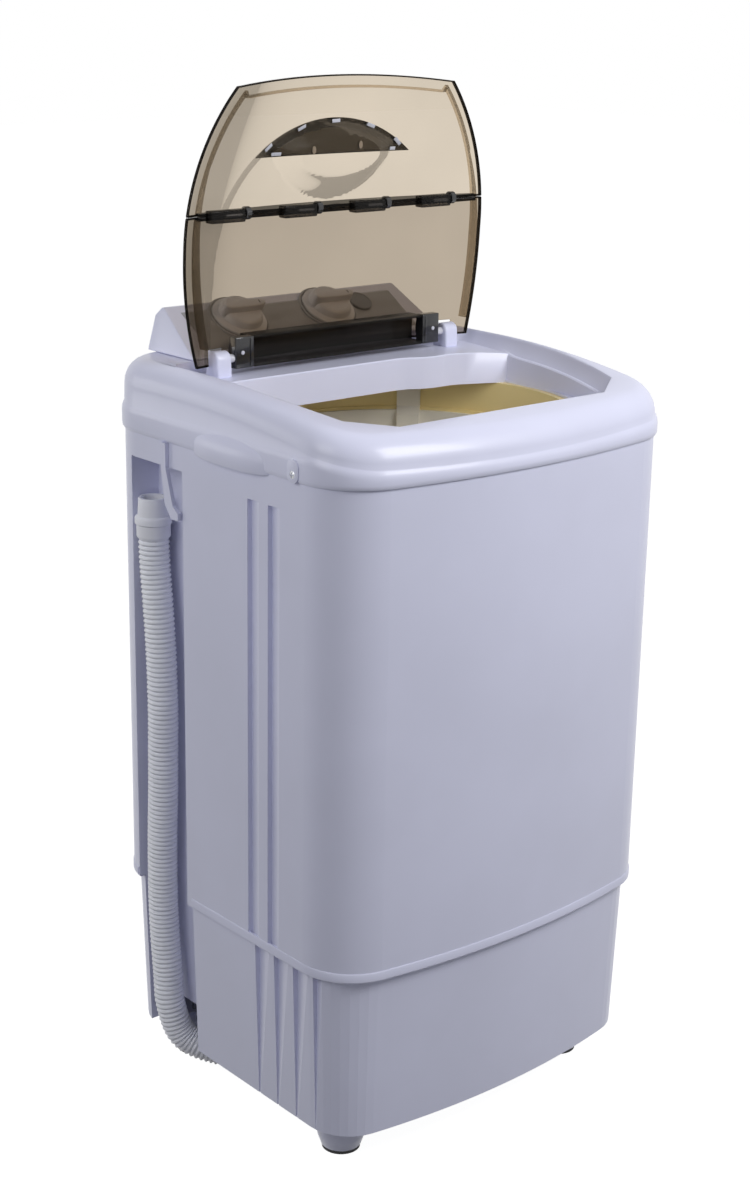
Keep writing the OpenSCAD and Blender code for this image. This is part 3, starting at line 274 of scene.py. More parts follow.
LOOKS = {
    "cabinet_plastic": material("white_plastic", (0.755, 0.768, 0.94), 0.36, bump=0.08, coat=0.15),
    "tub_plastic": material("tub_cream", (0.88, 0.84, 0.74), 0.32, bump=0.05),
    "collar_plastic": material("collar_yellow", (0.93, 0.76, 0.36), 0.35, bump=0.05),
    "smoked_lid": clear_material("smoked_clear", (0.71, 0.655, 0.58), 0.08, 0.03),
    "smoked_flap": clear_material("smoked_pale", (0.86, 0.805, 0.725), 0.08, 0.03),
    "black_plastic": material("gloss_black", (0.018, 0.018, 0.02), 0.18, bump=0.04, coat=0.4),
    "knob_plastic": material("knob_white", (0.66, 0.66, 0.72), 0.34, bump=0.06),
    "dark_plastic": material("dark_grey", (0.20, 0.20, 0.22), 0.45, bump=0.1),
    "pulsator_plastic": material("pulsator_blue", (0.48, 0.53, 0.70), 0.3, bump=0.05),
    "bright_steel": material("plated_steel", (0.40, 0.41, 0.43), 0.24, bump=0.12, scale=400, metal=1.0),
    "cast_alloy": material("cast_alloy", (0.55, 0.56, 0.58), 0.5, bump=0.4, scale=260, metal=1.0),
    "motor_steel": material("motor_paint", (0.07, 0.075, 0.085), 0.45, bump=0.2, scale=500),
    "rubber": material("black_rubber", (0.028, 0.028, 0.03), 0.75, bump=0.25, scale=600),
    "hose_plastic": material("hose_milky", (0.92, 0.93, 1.0), 0.42, bump=0.08),
    # Painted shade: this dark copy of the smoked lid stands for how dark the clear moulding looks at its
    # edges and edge-on walls.
    "smoked_edge_painted_shade": clear_material("smoked_edge_painted_shade", (0.16, 0.14, 0.12), 0.12, 0.10),
    "smoked_dark": clear_material("smoked_dark", (0.34, 0.32, 0.30), 0.15, 0.14),
    "handle_face": material("handle_face", (0.085, 0.083, 0.080), 0.32, bump=0.05),
    "clip_plastic": material("clip_white", (0.62, 0.63, 0.70), 0.4, bump=0.05),
    # Painted shade: the panel's grey is darkened to stand for the shadow the lid casts on the panel plate
    # and its dial rings.
    "panel_plastic": material("panel_grey_painted_shade", (0.36, 0.36, 0.39), 0.4, bump=0.1, scale=1500),
}


def paint_frame():
    for row in frame["record"]["subparts"]:
        node = NODES[row["node"]]
        for s in node.material_slots:
            s.material = LOOKS[row["material_slot"]]


# Mesh helpers
SHARP_ANGLE = 35


def piece(name, verts, faces, body, look, stands_for=(), angle=SHARP_ANGLE):
    mesh = bpy.data.meshes.new(name)
    mesh.from_pydata([tuple(v) for v in verts], [], faces)
    mesh.validate()
    return dress(name, mesh, body, look, stands_for, angle)


def dress(name, mesh, body, look, stands_for, angle):
    """A mesh made into a piece: with normals, sharp edges, its look, its body and what it stands for."""
    tidy = bmesh.new()
    tidy.from_mesh(mesh)
    bmesh.ops.recalc_face_normals(tidy, faces=tidy.faces)
    tidy.to_mesh(mesh)
    tidy.free()
    mesh.polygons.foreach_set("use_smooth", [True] * len(mesh.polygons))
    mesh.set_sharp_from_angle(angle=math.radians(angle))
    mesh.materials.append(LOOKS[look])
    obj = link(bpy.data.objects.new(name, mesh))
    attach(obj, body)
    if stands_for:
        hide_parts(*stands_for)
    return obj


def ring_faces(rings, n, closed=False):
    """Faces along a chain of rings of n points, and from the last ring to the first if it is closed."""
    faces = []
    for k in range(rings if closed else rings - 1):
        after = (k + 1) % rings
        for i in range(n):
            j = (i + 1) % n
            faces.append((k * n + i, k * n + j, after * n + j, after * n + i))
    return faces


def capped_faces(rings, n):
    """Faces along an open chain of rings of n points, and its two ends."""
    last = (rings - 1) * n
    return ring_faces(rings, n) + [tuple(reversed(range(n))), tuple(range(last, last + n))]


def capped_back(rings, n):
    """The same faces, with the points of each end listed in the opposite order."""
    last = (rings - 1) * n
    return ring_faces(rings, n) + [tuple(range(n)), tuple(reversed(range(last, last + n)))]


def grid_border(cols, rows):
    """Places (column, row) round a grid, counterclockwise from its first corner."""
    return ([(i, 0) for i in range(cols)] + [(cols, j) for j in range(rows)]
            + [(i, rows) for i in range(cols, 0, -1)] + [(0, j) for j in range(rows, 0, -1)])


def heading(line, k):
    """Direction of a line of points at its point k."""
    a, b = line[max(k - 1, 0)], line[min(k + 1, len(line) - 1)]
    return Vector((b[0] - a[0], b[1] - a[1])).normalized()


# The hose
def route_vertex(i):
    """A point of the route, and beyond either end its mirror image, so the ends run straight."""
    last = len(HOSE_ROUTE) - 1
    if i < 0:
        return 2 * Vector(HOSE_ROUTE[0]) - Vector(HOSE_ROUTE[1])
    if i > last:
        return 2 * Vector(HOSE_ROUTE[last]) - Vector(HOSE_ROUTE[last - 1])
    return Vector(HOSE_ROUTE[i])


def route_point(u):
    last = len(HOSE_ROUTE) - 1
    s = u * last
    i = min(int(s), last - 1)
    t = s - i
    a, b, c, d = (route_vertex(i + k) for k in (-1, 0, 1, 2))
    square = 2 * a - 5 * b + 4 * c - d
    cube = 3 * b - a - 3 * c + d
    return 0.5 * (2 * b + (c - a) * t + square * t * t + cube * t ** 3)


def ring_about(point, along, radius, sides):
    side = along.cross(Vector((1, 1, 0.1))).normalized()
    over = along.cross(side)
    return [point + radius * (math.cos(a) * side + math.sin(a) * over)
            for a in (2 * math.pi * k / sides for k in range(sides))]


def make_hose():
    sides, per_rib, bore_step = 20, 6, 20
    steps = RIB_COUNT * per_rib
    line = [route_point(k / steps) for k in range(steps + 1)]
    line.reverse()

    def along(k):
        return (line[min(k + 1, steps)] - line[max(k - 1, 0)]).normalized()

    rings = []
    for k in range(steps + 1):
        wave = 0.5 + 0.5 * math.cos(2 * math.pi * k / per_rib)
        rings.append(ring_about(line[k], along(k), HOSE_R - RIB_DEPTH * (1 - wave ** 0.7), sides))
    for k in range(steps, -1, -bore_step):
        rings.append(ring_about(line[k], along(k), HOSE_BORE, sides))
    verts = [v for r in rings for v in r]
    hose = piece("drain_hose_ribbed", verts, ring_faces(len(rings), sides, True), "machine", "hose_plastic",
                 ["drain_hose"], angle=60)
    make_cuff()


def make_cuff():
    """Smooth end piece of the hose: a sleeve over the ribs, a ring and a slimmer spigot."""
    bore = HOSE_BORE / MM
    profile = [(bore, -14), (16.0, -14), (16.7, -13.2), (16.7, -1.5), (18.3, 0), (18.3, 5), (17.4, 6.4),
               (15.4, 7.4), (14.5, 24.5), (14.0, 25.4), (bore, 25.4), (bore, -14)]
    x, y, z = (c / MM for c in HOSE_ROUTE[0])
    return turned("hose_cuff_moulding", profile, 48, lambda u, v, w: Vector((x + u, y + v, z + w)) * MM,
                  "machine", "hose_plastic", ["hose_cuff"])


# The body's plan: points counterclockwise from the front's left end, drawn in by d
FINE = 2


def arc(cx, cy, r, a0, a1, n):
    return [(cx + r * math.cos(math.radians(a0 + (a1 - a0) * i / n)),
             cy + r * math.sin(math.radians(a0 + (a1 - a0) * i / n))) for i in range(n)]


def straight(a, b, n):
    return [(a[0] + (b[0] - a[0]) * i / n, a[1] + (b[1] - a[1]) * i / n) for i in range(n)]


CORNER_X = BODY_W / 2 - CORNER_R
CORNER_FRONT = -BODY_D / 2 + FRONT_BOW + CORNER_R
CORNER_REAR = BODY_D / 2 - CORNER_R
BOW_R = (CORNER_X ** 2 + (FRONT_BOW + CORNER_R) ** 2 - CORNER_R ** 2) / (2 * FRONT_BOW)
BOW_Y = -BODY_D / 2 + BOW_R
BOW_ANGLE = math.degrees(math.atan2(CORNER_X, BOW_R - FRONT_BOW - CORNER_R))
PLAN_COUNTS = [20, 8, 14, 8, 12, 8, 14, 8]
PLAN_N = sum(PLAN_COUNTS) * FINE


def plan(d):
    r, w, b = CORNER_R - d, BODY_W / 2 - d, BODY_D / 2 - d
    n = [c * FINE for c in PLAN_COUNTS]
    return (arc(0, BOW_Y, BOW_R - d, 270 - BOW_ANGLE, 270 + BOW_ANGLE, n[0])
            + arc(CORNER_X, CORNER_FRONT, r, 270 + BOW_ANGLE, 360, n[1])
            + straight((w, CORNER_FRONT), (w, CORNER_REAR), n[2])
            + arc(CORNER_X, CORNER_REAR, r, 0, 90, n[3])
            + straight((CORNER_X, b), (-CORNER_X, b), n[4])
            + arc(-CORNER_X, CORNER_REAR, r, 90, 180, n[5])
            + straight((-w, CORNER_REAR), (-w, CORNER_FRONT), n[6])
            + arc(-CORNER_X, CORNER_FRONT, r, 180, 270 - BOW_ANGLE, n[7]))


# The top cover
OPEN_FRONT = -154.0
OPEN_FRONT_X = 130.0
OPEN_X = 187.0
RIM_DROP = 16.0
RIM_MID_Y = -12.0
SHELF_Z = 736.0
SHELF_FRONT = 58.0
SHELF_REAR = 112.0
RING_Z = 704.0
COLLAR_R = 167.0
TUB_Y = -8.0
RIM_CORNER = 28.0
REAR_CORNER = 16.0

# The deck falls off in front of this line, and the opening's sides draw in towards the front
DECK_LEVEL_Y = 60.0
DECK_FALL = 2300.0
DRAW_POWER = 1.75
DRAW_WIDTH = 232.0

# Behind this line the lower edge of the rim's wall runs over to the shelf's level
TO_SHELF_Y = 10.0
TO_SHELF_LENGTH = 30.0

# The well's rear wall: how it leans, its wave forward on the right, and its slant into the corner
WELL_IN = 12.0
WELL_SPREAD = 0.87
WAVE_DEPTH = 12.0
WAVE_X = 56.0
WAVE_LENGTH = 34.0
SLANT_X = 120.0
SLANT = 0.42


def deck(y):
    return DECK_Z - min(y - DECK_LEVEL_Y, 0) ** 2 / DECK_FALL


def rim_side(d, y):
    return (OPEN_X - d - max(RIM_MID_Y - y, 0) ** DRAW_POWER / DRAW_WIDTH, y)


def rim(d, back):
    n = [c * FINE for c in PLAN_COUNTS]
    front, x0, xs = OPEN_FRONT + d, OPEN_FRONT_X, OPEN_X - d
    low = OPEN_FRONT + RIM_CORNER
    high = back - REAR_CORNER
    side = [rim_side(d, low + (high - low) * i / n[2]) for i in range(n[2])]
    corner = rim_side(d, low)
    mirrored = [(-p[0], p[1]) for p in reversed(side)]
    return (straight((-x0, front), (x0, front), n[0])
            + straight((x0, front), corner, n[1])
            + side
            + arc(xs - REAR_CORNER, high, REAR_CORNER, 0, 90, n[3])
            + straight((xs - REAR_CORNER, back), (-xs + REAR_CORNER, back), n[4])
            + arc(-xs + REAR_CORNER, high, REAR_CORNER, 90, 180, n[5])
            + mirrored
            + straight((-corner[0], low), (-x0, front), n[7]))


def smooth_step(t):
    t = max(0.0, min(1.0, t))
    return t * t * (3 - 2 * t)


def well_back(x):
    """Rear wall of the well: it swings forward in a wave on the right and round the corner."""
    wave = WAVE_DEPTH * smooth_step((x - WAVE_X) / WAVE_LENGTH)
    return SHELF_FRONT - wave - max(x - SLANT_X, 0) * SLANT


def well(d):
    """Outline of the well, drawn in by d."""
    forward = 0.5 + (WELL_IN - d) * WELL_SPREAD
    return [(x, min(y, well_back(x) + forward)) for x, y in rim(d, SHELF_REAR)]


def ring(points, z):
    return [(x, y, z) for x, y in points]


def on_deck(points, drop):
    return [(x, y, deck(y) - drop) for x, y in points]


def under_rim(points, drop):
    out = []
    for x, y in points:
        s = smooth_step((y - TO_SHELF_Y) / TO_SHELF_LENGTH)
        out.append((x, y, (deck(y) - drop) * (1 - s) + (SHELF_Z - drop + RIM_DROP) * s))
    return out


def flange_ring(z):
    """Outer edge of the flange at the well's foot, which reaches over the tub's collar."""
    out = []
    for x, y in well(6):
        far = math.hypot(x, y - TUB_Y)
        k = max(COLLAR_R + 8, far) / far
        out.append((x * k, TUB_Y + (y - TUB_Y) * k, z))
    return out


def shoulder(angle, extra=0.0):
    d = SHOULDER_W * (1 - math.cos(math.radians(angle))) + extra
    rise = SHOULDER_H * (1 - math.sin(math.radians(angle)))
    return [(x, y, deck(y) - rise - extra) for x, y in plan(d)]


def in_metres(rings):
    return [(x * MM, y * MM, z * MM) for r in rings for x, y, z in r]


def make_top_cover():
    t = WALL
    bead = [(1.0, 0.0), (-1.6, 0.6), (-2.7, 2.4), (-BEAD_OUT, 5.0)]
    crest = [(-BEAD_OUT, -8.0), (-2.6, -5.0), (-1.6, -2.4), (-0.5, -0.6)]
    rings = [ring(plan(d), COVER_Z + h) for d, h in bead]
    for d, h in crest:
        rings.append([(x, y, min(COVER_Z + BEAD_H, deck(y) - SHOULDER_H - 0.5) + h) for x, y in plan(d)])
    rings += [shoulder(a) for a in (0, 12, 24, 36, 48, 60, 72, 82, 90)]
    rings += [on_deck(rim(d, SHELF_REAR), drop) for d, drop in ((-2.4, 0.0), (-0.8, 0.3), (0.2, 1.4))]
    rings += [on_deck(rim(0.8, SHELF_REAR), 3.5)]
    rings += [under_rim(rim(7.2, SHELF_REAR - 0.7), RIM_DROP - 1.5)]
    rings += [under_rim(rim(8.4, SHELF_REAR - 1), RIM_DROP)]
    rings += [under_rim(well(11), RIM_DROP), under_rim(well(12.4), RIM_DROP + 1.2)]
    rings += [ring(well(14), RING_Z), flange_ring(RING_Z)]
    rings += [flange_ring(RING_Z + t), ring(well(9), RING_Z + t)]
    rings += [under_rim(well(9), RIM_DROP + t), under_rim(rim(5, SHELF_REAR + 2), RIM_DROP + t)]
    rings += [on_deck(rim(-3, SHELF_REAR + 3), t), on_deck(plan(SHOULDER_W - 5), t)]
    rings += [shoulder(50, t), shoulder(0, t)]
    rings += [ring(plan(t), COVER_Z + 1), ring(plan(t), COVER_Z)]
    piece("top_cover_moulding", in_metres(rings), ring_faces(len(rings), PLAN_N, True), "machine",
          "cabinet_plastic", ["top_cover"], angle=38)


def make_corner_plates():
    """Floor of the well in its corners, which reach past the tub's collar."""
    inner, low, high = COLLAR_R + 7, RING_Z + 0.1, RING_Z + WALL
    line = well(WELL_IN)
    wide = [i for i, (x, y) in enumerate(line) if math.hypot(x, y - TUB_Y) > inner + 0.6]
    runs = []
    for i in wide:
        if runs and runs[-1][-1] == i - 1:
            runs[-1].append(i)
        else:
            runs.append([i])
    if len(runs) > 1 and runs[0][0] == 0 and runs[-1][-1] == len(line) - 1:
        runs[0] = runs.pop() + runs[0]
    for k, run in enumerate(r for r in runs if len(r) > 1):
        verts = []
        for i in run:
            x, y = line[i]
            share = inner / math.hypot(x, y - TUB_Y)
            u, v = x * share, TUB_Y + (y - TUB_Y) * share
            verts += [Vector(p) * MM for p in ((x, y, low), (u, v, low), (u, v, high), (x, y, high))]
        faces = capped_faces(len(run), 4)
        bevelled(f"well_corner_{k}", verts, faces, 0.4 * MM, "machine", "cabinet_plastic", segments=2)


def make_filter_strip():
    """Pale upright strip on the tub's wall, behind to the right."""
    start, span, steps = 41.2, 8.5, 8
    section = [(159.9, 560.0), (155.4, 563.0), (155.4, 664.0), (162.4, 672.0), (162.4, 701.0),
               (166.8, 701.0), (166.8, 668.2), (159.9, 668.2)]
    verts = []
    for k in range(steps + 1):
        a = math.radians(start + span * k / steps)
        verts += [Vector((r * math.cos(a), TUB_Y + r * math.sin(a), z)) * MM for r, z in section]
    piece("filter_strip", verts, capped_faces(steps + 1, len(section)), "machine", "tub_plastic")


# Rounded prisms and lathe forms
def prism(outline, low, high, to_world):
    """Corners and faces of an outline of (u, v) that is pushed along its third axis."""
    n = len(outline)
    verts = [to_world(u, v, low) for u, v in outline] + [to_world(u, v, high) for u, v in outline]
    faces = [tuple(reversed(range(n))), tuple(range(n, 2 * n))]
    faces += [(i, (i + 1) % n, n + (i + 1) % n, n + i) for i in range(n)]
    return verts, faces


def bevelled(name, verts, faces, width, body, look, stands_for=(), segments=3, limit=25):
    """A piece whose edges sharper than the limit in degrees are rounded to the width in metres."""
    mesh = bpy.data.meshes.new(name)
    mesh.from_pydata([tuple(v) for v in verts], [], faces)
    mesh.validate()
    work = bmesh.new()
    work.from_mesh(mesh)
    bmesh.ops.remove_doubles(work, verts=work.verts, dist=1e-6)
    bmesh.ops.recalc_face_normals(work, faces=work.faces)
    sharp = [e for e in work.edges if len(e.link_faces) == 2
             and e.calc_face_angle(0) > math.radians(limit)]
    bmesh.ops.bevel(work, geom=sharp, offset=width, segments=segments, affect="EDGES", profile=0.5,
                    clamp_overlap=True)
    work.to_mesh(mesh)
    work.free()
    dress(name, mesh, body, look, stands_for, 40)


def along_x(u, v, w):
    return Vector((w, u, v)) * MM


def oblong(u0, v0, u1, v1):
    return [(u0, v0), (u1, v0), (u1, v1), (u0, v1)]


def turned(name, profile, steps, to_world, body, look, stands_for=()):
    """A lathe form: profile is a line of (radius, height) that ends on the axis or where it began."""
    verts, faces = [], []
    for k in range(steps):
        a = 2 * math.pi * k / steps
        verts += [to_world(r * math.cos(a), r * math.sin(a), h) for r, h in profile]
    n = len(profile)
    for k in range(steps):
        a, b = k * n, ((k + 1) % steps) * n
        faces += [(a + i, b + i, b + i + 1, a + i + 1) for i in range(n - 1)]
    obj = piece(name, verts, faces, body, look, stands_for)
    work = bmesh.new()
    work.from_mesh(obj.data)
    bmesh.ops.remove_doubles(work, verts=work.verts, dist=1e-6)
    bmesh.ops.dissolve_degenerate(work, edges=work.edges, dist=1e-7)
    bmesh.ops.recalc_face_normals(work, faces=work.faces)
    work.to_mesh(obj.data)
    work.free()
    obj.data.polygons.foreach_set("use_smooth", [True] * len(obj.data.polygons))
    obj.data.set_sharp_from_angle(angle=math.radians(SHARP_ANGLE))
    return obj


# The console and its controls
PANEL_Z0 = DECK_Z + 2.8
CONSOLE_FRONT = 113.0
CONSOLE_REAR = 188.0
CONSOLE_H = 42.0
CONSOLE_HALF = 160.0
CONSOLE_DRAFT = 12.0
SLOPE = math.tan(PANEL_SLOPE)

# The panel's plate: half its width, half its height, and the wave of the crease across it
PLATE_HALF_W = 134.0
PLATE_HALF_H = 29.0
CREASE_V = 7.0
CREASE_RISE = 9.0
CREASE_SHIFT = 30.0
CREASE_LENGTH = 46.0

# A knob's wing, half its length and half its width, and the scale lines round it with their degrees
WING_HALF_L = 24.5
WING_HALF_W = 5.6
LINE_COUNT = 11
FIRST_LINE = 210
LINE_STEP = 24


def on_panel(x, y):
    """A map from the panel's own axes (across, up the slope, out) to the world, about a point on it."""
    z = PANEL_Z0 + (y - CONSOLE_FRONT) * SLOPE
    up = Vector((0, math.cos(PANEL_SLOPE), math.sin(PANEL_SLOPE)))
    out = Vector((0, -math.sin(PANEL_SLOPE), math.cos(PANEL_SLOPE)))
    base = Vector((x, y, z))
    return lambda u, v, w: (base + Vector((u, 0, 0)) + up * v + out * w) * MM


def make_console():
    top = DECK_Z + CONSOLE_H
    slope_end = CONSOLE_FRONT + (top - PANEL_Z0) / SLOPE
    section = [(CONSOLE_FRONT, DECK_Z + 0.4), (CONSOLE_FRONT, PANEL_Z0), (slope_end, top),
               (CONSOLE_REAR - 8, top), (CONSOLE_REAR, top - 8), (CONSOLE_REAR, DECK_Z + 0.4)]
    verts, steps = [], 8
    for k in range(steps + 1):
        share = 2 * k / steps - 1
        for y, z in section:
            half = CONSOLE_HALF - CONSOLE_DRAFT * (z - DECK_Z) / CONSOLE_H
            verts.append(Vector((share * half, y, z)) * MM)
    bevelled("console_moulding", verts, capped_back(steps + 1, len(section)), 4.5 * MM, "machine",
             "cabinet_plastic", ["console_housing", "control_panel"], segments=5, limit=12)


def make_panel_plate():
    """The raised plate on the slope, with a wavy crease across it, in a grey darkened as painted shade of
    the lid's shadow.
    """
    cols, rows = 96, 14
    at = on_panel(0, CONSOLE_FRONT + 30)

    def spot(i, j):
        return (-PLATE_HALF_W + 2 * PLATE_HALF_W * i / cols, -PLATE_HALF_H + 2 * PLATE_HALF_H * j / rows)

    verts, faces = [], []
    for j in range(rows + 1):
        for i in range(cols + 1):
            u, v = spot(i, j)
            crease = CREASE_V + CREASE_RISE * math.sin((u + CREASE_SHIFT) / CREASE_LENGTH)
            lift = 1.0 + 1.4 * smooth_step((v - crease + 1.5) / 3)
            edge = min((PLATE_HALF_W - abs(u)) / 2.5, (PLATE_HALF_H - abs(v)) / 2.5, 1)
            verts.append(at(u, v, 0.2 + lift * max(0.0, edge) ** 0.5))
    n = cols + 1
    for j in range(rows):
        for i in range(cols):
            a = j * n + i
            faces.append((a, a + 1, a + n + 1, a + n))
    low = len(verts)
    border = grid_border(cols, rows)
    m = len(border)
    verts += [at(*spot(i, j), -0.4) for i, j in border]
    for k, (i, j) in enumerate(border):
        after_i, after_j = border[(k + 1) % m]
        faces.append((j * n + i, after_j * n + after_i, low + (k + 1) % m, low + k))
    faces.append(tuple(range(low, low + m)))
    piece("control_panel_plate", verts, faces, "machine", "panel_plastic", angle=30)


def signed_power(value, power):
    return math.copysign(abs(value) ** power, value)


def make_knob(name, x, body, node):
    at = on_panel(x, KNOB_Y)
    skirt = [(0, 3.0), (28.5, 3.0), (28.9, 3.6), (28.5, 5.2), (25.5, 6.4), (23.2, 7.4), (21.8, 12.4),
             (20.2, 14.4), (17.5, 15.2), (0, 15.6)]
    turned(name + "_skirt", skirt, 72, at, body, "knob_plastic", [node])
    turns = [2 * math.pi * k / 48 for k in range(48)]
    wing = [(WING_HALF_L * signed_power(math.cos(a), 0.55), WING_HALF_W * signed_power(math.sin(a), 0.8))
            for a in turns]
    verts, faces = prism(wing, 8.0, 22.5, at)
    bevelled(name + "_grip", verts, faces, 1.6 * MM, body, "knob_plastic", limit=40)
    verts, faces = prism(oblong(16.3, -2.0, 17.7, 2.0), 22.4, 22.75, at)
    bevelled(name + "_mark", verts, faces, 0.1 * MM, body, "dark_plastic", segments=1)


def make_dial_ring(name, x):
    """Ring on the panel round a knob, with short scale lines."""
    at = on_panel(x, KNOB_Y)
    profile = [(29.6, 0.4), (31.8, 0.4), (32.2, 1.0), (32.2, 3.0), (31.6, 3.5), (30.2, 3.5), (29.6, 3.0),
               (29.6, 0.4)]
    turned(name, profile, 96, at, "machine", "panel_plastic")
    for k in range(LINE_COUNT):
        a = math.radians(FIRST_LINE - LINE_STEP * k)
        outward = Vector((math.cos(a), math.sin(a)))
        near, far = outward * 30.2, outward * 31.5
        half = Vector((-outward.y, outward.x)) * 0.35
        verts, faces = prism([near - half, far - half, far + half, near + half], 3.4, 3.62, at)
        piece(f"{name}_line_{k}", verts, faces, "machine", "dark_plastic")


def make_panel_disc():
    profile = [(0, 1.0), (13.5, 1.0), (13.5, 3.3), (12.9, 3.9), (11.6, 4.1), (11.0, 3.6), (0, 3.5)]
    at = on_panel(SELECTOR_X + DISC_BESIDE, KNOB_Y + DISC_ABOVE)
    turned("panel_disc_cap", profile, 64, at, "machine", "dark_plastic", ["panel_disc"])


def make_controls():
    make_console()
    make_panel_plate()
    make_knob("timer_knob", TIMER_X, "timer", "timer_knob")
    make_knob("selector_knob", SELECTOR_X, "selector", "selector_knob")
    make_dial_ring("timer_ring", TIMER_X)
    make_dial_ring("selector_ring", SELECTOR_X)
    make_panel_disc()


# The lid: a shallow dome cut to its outline, open and standing behind the tub
HINGE_Y = 87.0
HINGE_Z = 752.0
DOME_R = 750.0
DOME_BEHIND = 24.8
DOME_Y = HINGE_Y + DOME_BEHIND - DOME_R
DOME_Z = 812.8
LID_WALL = 2.6
LID_FOOT = 746.0
LID_TOP = 1013.0
SIDE_TOP = 1005.0
FOLD_Z = 888.0
FOLD_GAP = 0.8
TIP_Y = 78.0
FLANGE_IN = 10.0
FLANGE_TOP = 1001.0
FLANGE_BEND = 936.0
CROSS_HALF = 174.0
KNUCKLES = (-121.0, -35.0, 52.0, 139.0)
NOTCH_X = (136.0, 157.0)
NOTCH_Z = 761.5

# The outline's arcs: two for a side, each as centre across, radius and centre height, and one over the top
SIDE_CHANGE = 856.0
LOW_SIDE = (-212.5, 400.0, 850.0)
HIGH_SIDE = (-36.0, 223.5, 860.0)
TOP_R = 1100.0

# The shells' dark edge bands, painted shade: how deep they reach in, and how far they stand off the two
# faces
EDGE_IN = 1.1
EDGE_PROUD = 0.25

# The raised arch, the handle and the finger cup: their upper circles share the centre at ARCH_Z
ARCH_RISE = 0.9
ARCH_Z = 820.0
ARCH_R = 150.0
ARCH_LEG_TOP = 840.0
ARCH_LEG_X = 148.7
ARCH_LEG_SPLAY = 0.094
HANDLE_R = 152.0
HANDLE_FOOT = 937.0
CUP_DEPTH = 12.0
CUP_TOP_R = 148.0
CUP_LOW_R = 82.0
CUP_LOW_Z = 976.0
CUP_FLOOR_X = 3.0
CUP_FLOOR_Z = 936.0
CUP_FLOOR_HALF_W = 50.0
CUP_FLOOR_HALF_H = 19.5

# Snaps of the handle (across, height, tilt in degrees) and pips (across, height)
SNAPS = ((-73.5, 940, 2), (-83.5, 946.6, 38), (-43, 963.5, 22), (-1, 969, 2), (43.5, 963.2, -20),
         (79, 946.6, -42), (72.5, 940, -2))
PIPS = ((-22, 941.5), (36, 944.5))


def dome_at(x, z, grow=0.0):
    return DOME_Y + math.sqrt((DOME_R + grow) ** 2 - x * x - (z - DOME_Z) ** 2)


def lid_half_width(z, d=0.0):
    centre, radius, level = LOW_SIDE if z < SIDE_CHANGE else HIGH_SIDE
    return centre + math.sqrt((radius - d) ** 2 - (z - level) ** 2)


def lid_top_edge(x, d=0.0):
    return LID_TOP - TOP_R + math.sqrt((TOP_R - d) ** 2 - x * x)


def arch_inside(x, z):
    """How far a point lies inside the lid's raised arch."""
    if z > ARCH_LEG_TOP:
        return ARCH_R - math.hypot(x, z - ARCH_Z)
    return ARCH_LEG_X + (ARCH_LEG_TOP - z) * ARCH_LEG_SPLAY - abs(x)


def cup_depth(x, z):
    """How far the finger cup is sunk at a point: a flat oval floor and a sloping side."""
    edge = min(CUP_LOW_R - math.hypot(x, z - CUP_LOW_Z), CUP_TOP_R - math.hypot(x, z - ARCH_Z))
    if edge <= 0:
        return 0.0
    across, rise = x - CUP_FLOOR_X, z - CUP_FLOOR_Z
    oval = math.hypot(across / CUP_FLOOR_HALF_W, rise / CUP_FLOOR_HALF_H)
    if oval <= 1:
        return CUP_DEPTH
    beyond = math.hypot(across, rise) * (1 - 1 / oval)
    return CUP_DEPTH * (edge / (edge + beyond)) ** 0.75


def lid_face(x, z, inner):
    y = dome_at(x, z, -LID_WALL if inner else 0.0)
    if z > FOLD_Z:
        y -= cup_depth(x, z)
    return y + ARCH_RISE * smooth_step(arch_inside(x, z) / 5 + 0.5)


def front_grid():
    """Rows of (x, z) that fill the lid's outline above the fold and under its curved top edge."""
    z0, z1 = FOLD_Z + FOLD_GAP, SIDE_TOP
    cols, rows = 188, round((z1 - z0) / 2)
    out = []
    for j in range(rows + 1):
        t = j / rows
        z = z0 + (z1 - z0) * t
        half = lid_half_width(z)
        xs = [half * (2 * i / cols - 1) for i in range(cols + 1)]
        out.append([(x, z + (lid_top_edge(x) - z1) * t ** 5) for x in xs])
    return out


def rear_grid():
    """Rows of (x, z) below the fold, with columns along the sides of the notches for the cover's horns."""
    near, far = NOTCH_X
    inner = [near * (2 * i / 130 - 1) for i in range(1, 130)]
    notch = [near + (far - near) * i / 8 for i in range(9)]
    heights = [LID_FOOT + (NOTCH_Z - LID_FOOT) * j / 10 for j in range(10)]
    heights += [NOTCH_Z + (FOLD_Z - FOLD_GAP - NOTCH_Z) * j / 58 for j in range(59)]
    out = []
    for z in heights:
        half = lid_half_width(z)
        side = [far + (half - far) * i / 14 for i in range(1, 15)]
        right = notch + side
        out.append([(x, z) for x in [-x for x in reversed(right)] + inner + right])
    return out


def in_notch(x, z):
    return NOTCH_X[0] < abs(x) < NOTCH_X[1] and z < NOTCH_Z


def lid_shell(name, grid, body, look, nodes):
    """A wall over a grid of (x, z): two skins, and side faces along every edge that only one cell has."""
    n = len(grid[0])
    verts = [Vector((x, lid_face(x, z, False), z)) * MM for row in grid for x, z in row]
    verts += [Vector((x, lid_face(x, z, True), z)) * MM for row in grid for x, z in row]
    back = n * len(grid)
    faces, sides = [], {}
    for j in range(len(grid) - 1):
        for i in range(n - 1):
            (x0, z0), (x1, z1) = grid[j][i], grid[j + 1][i + 1]
            if in_notch((x0 + x1) / 2, (z0 + z1) / 2):
                continue
            a = j * n + i
            cell = (a, a + 1, a + n + 1, a + n)
            faces += [cell, tuple(back + k for k in reversed(cell))]
            for k in range(4):
                edge = (cell[k], cell[(k + 1) % 4])
                if edge[::-1] in sides:
                    del sides[edge[::-1]]
                else:
                    sides[edge] = True
    faces += [(b, a, back + a, back + b) for a, b in sides]
    piece(name, verts, faces, body, look, nodes, angle=24)


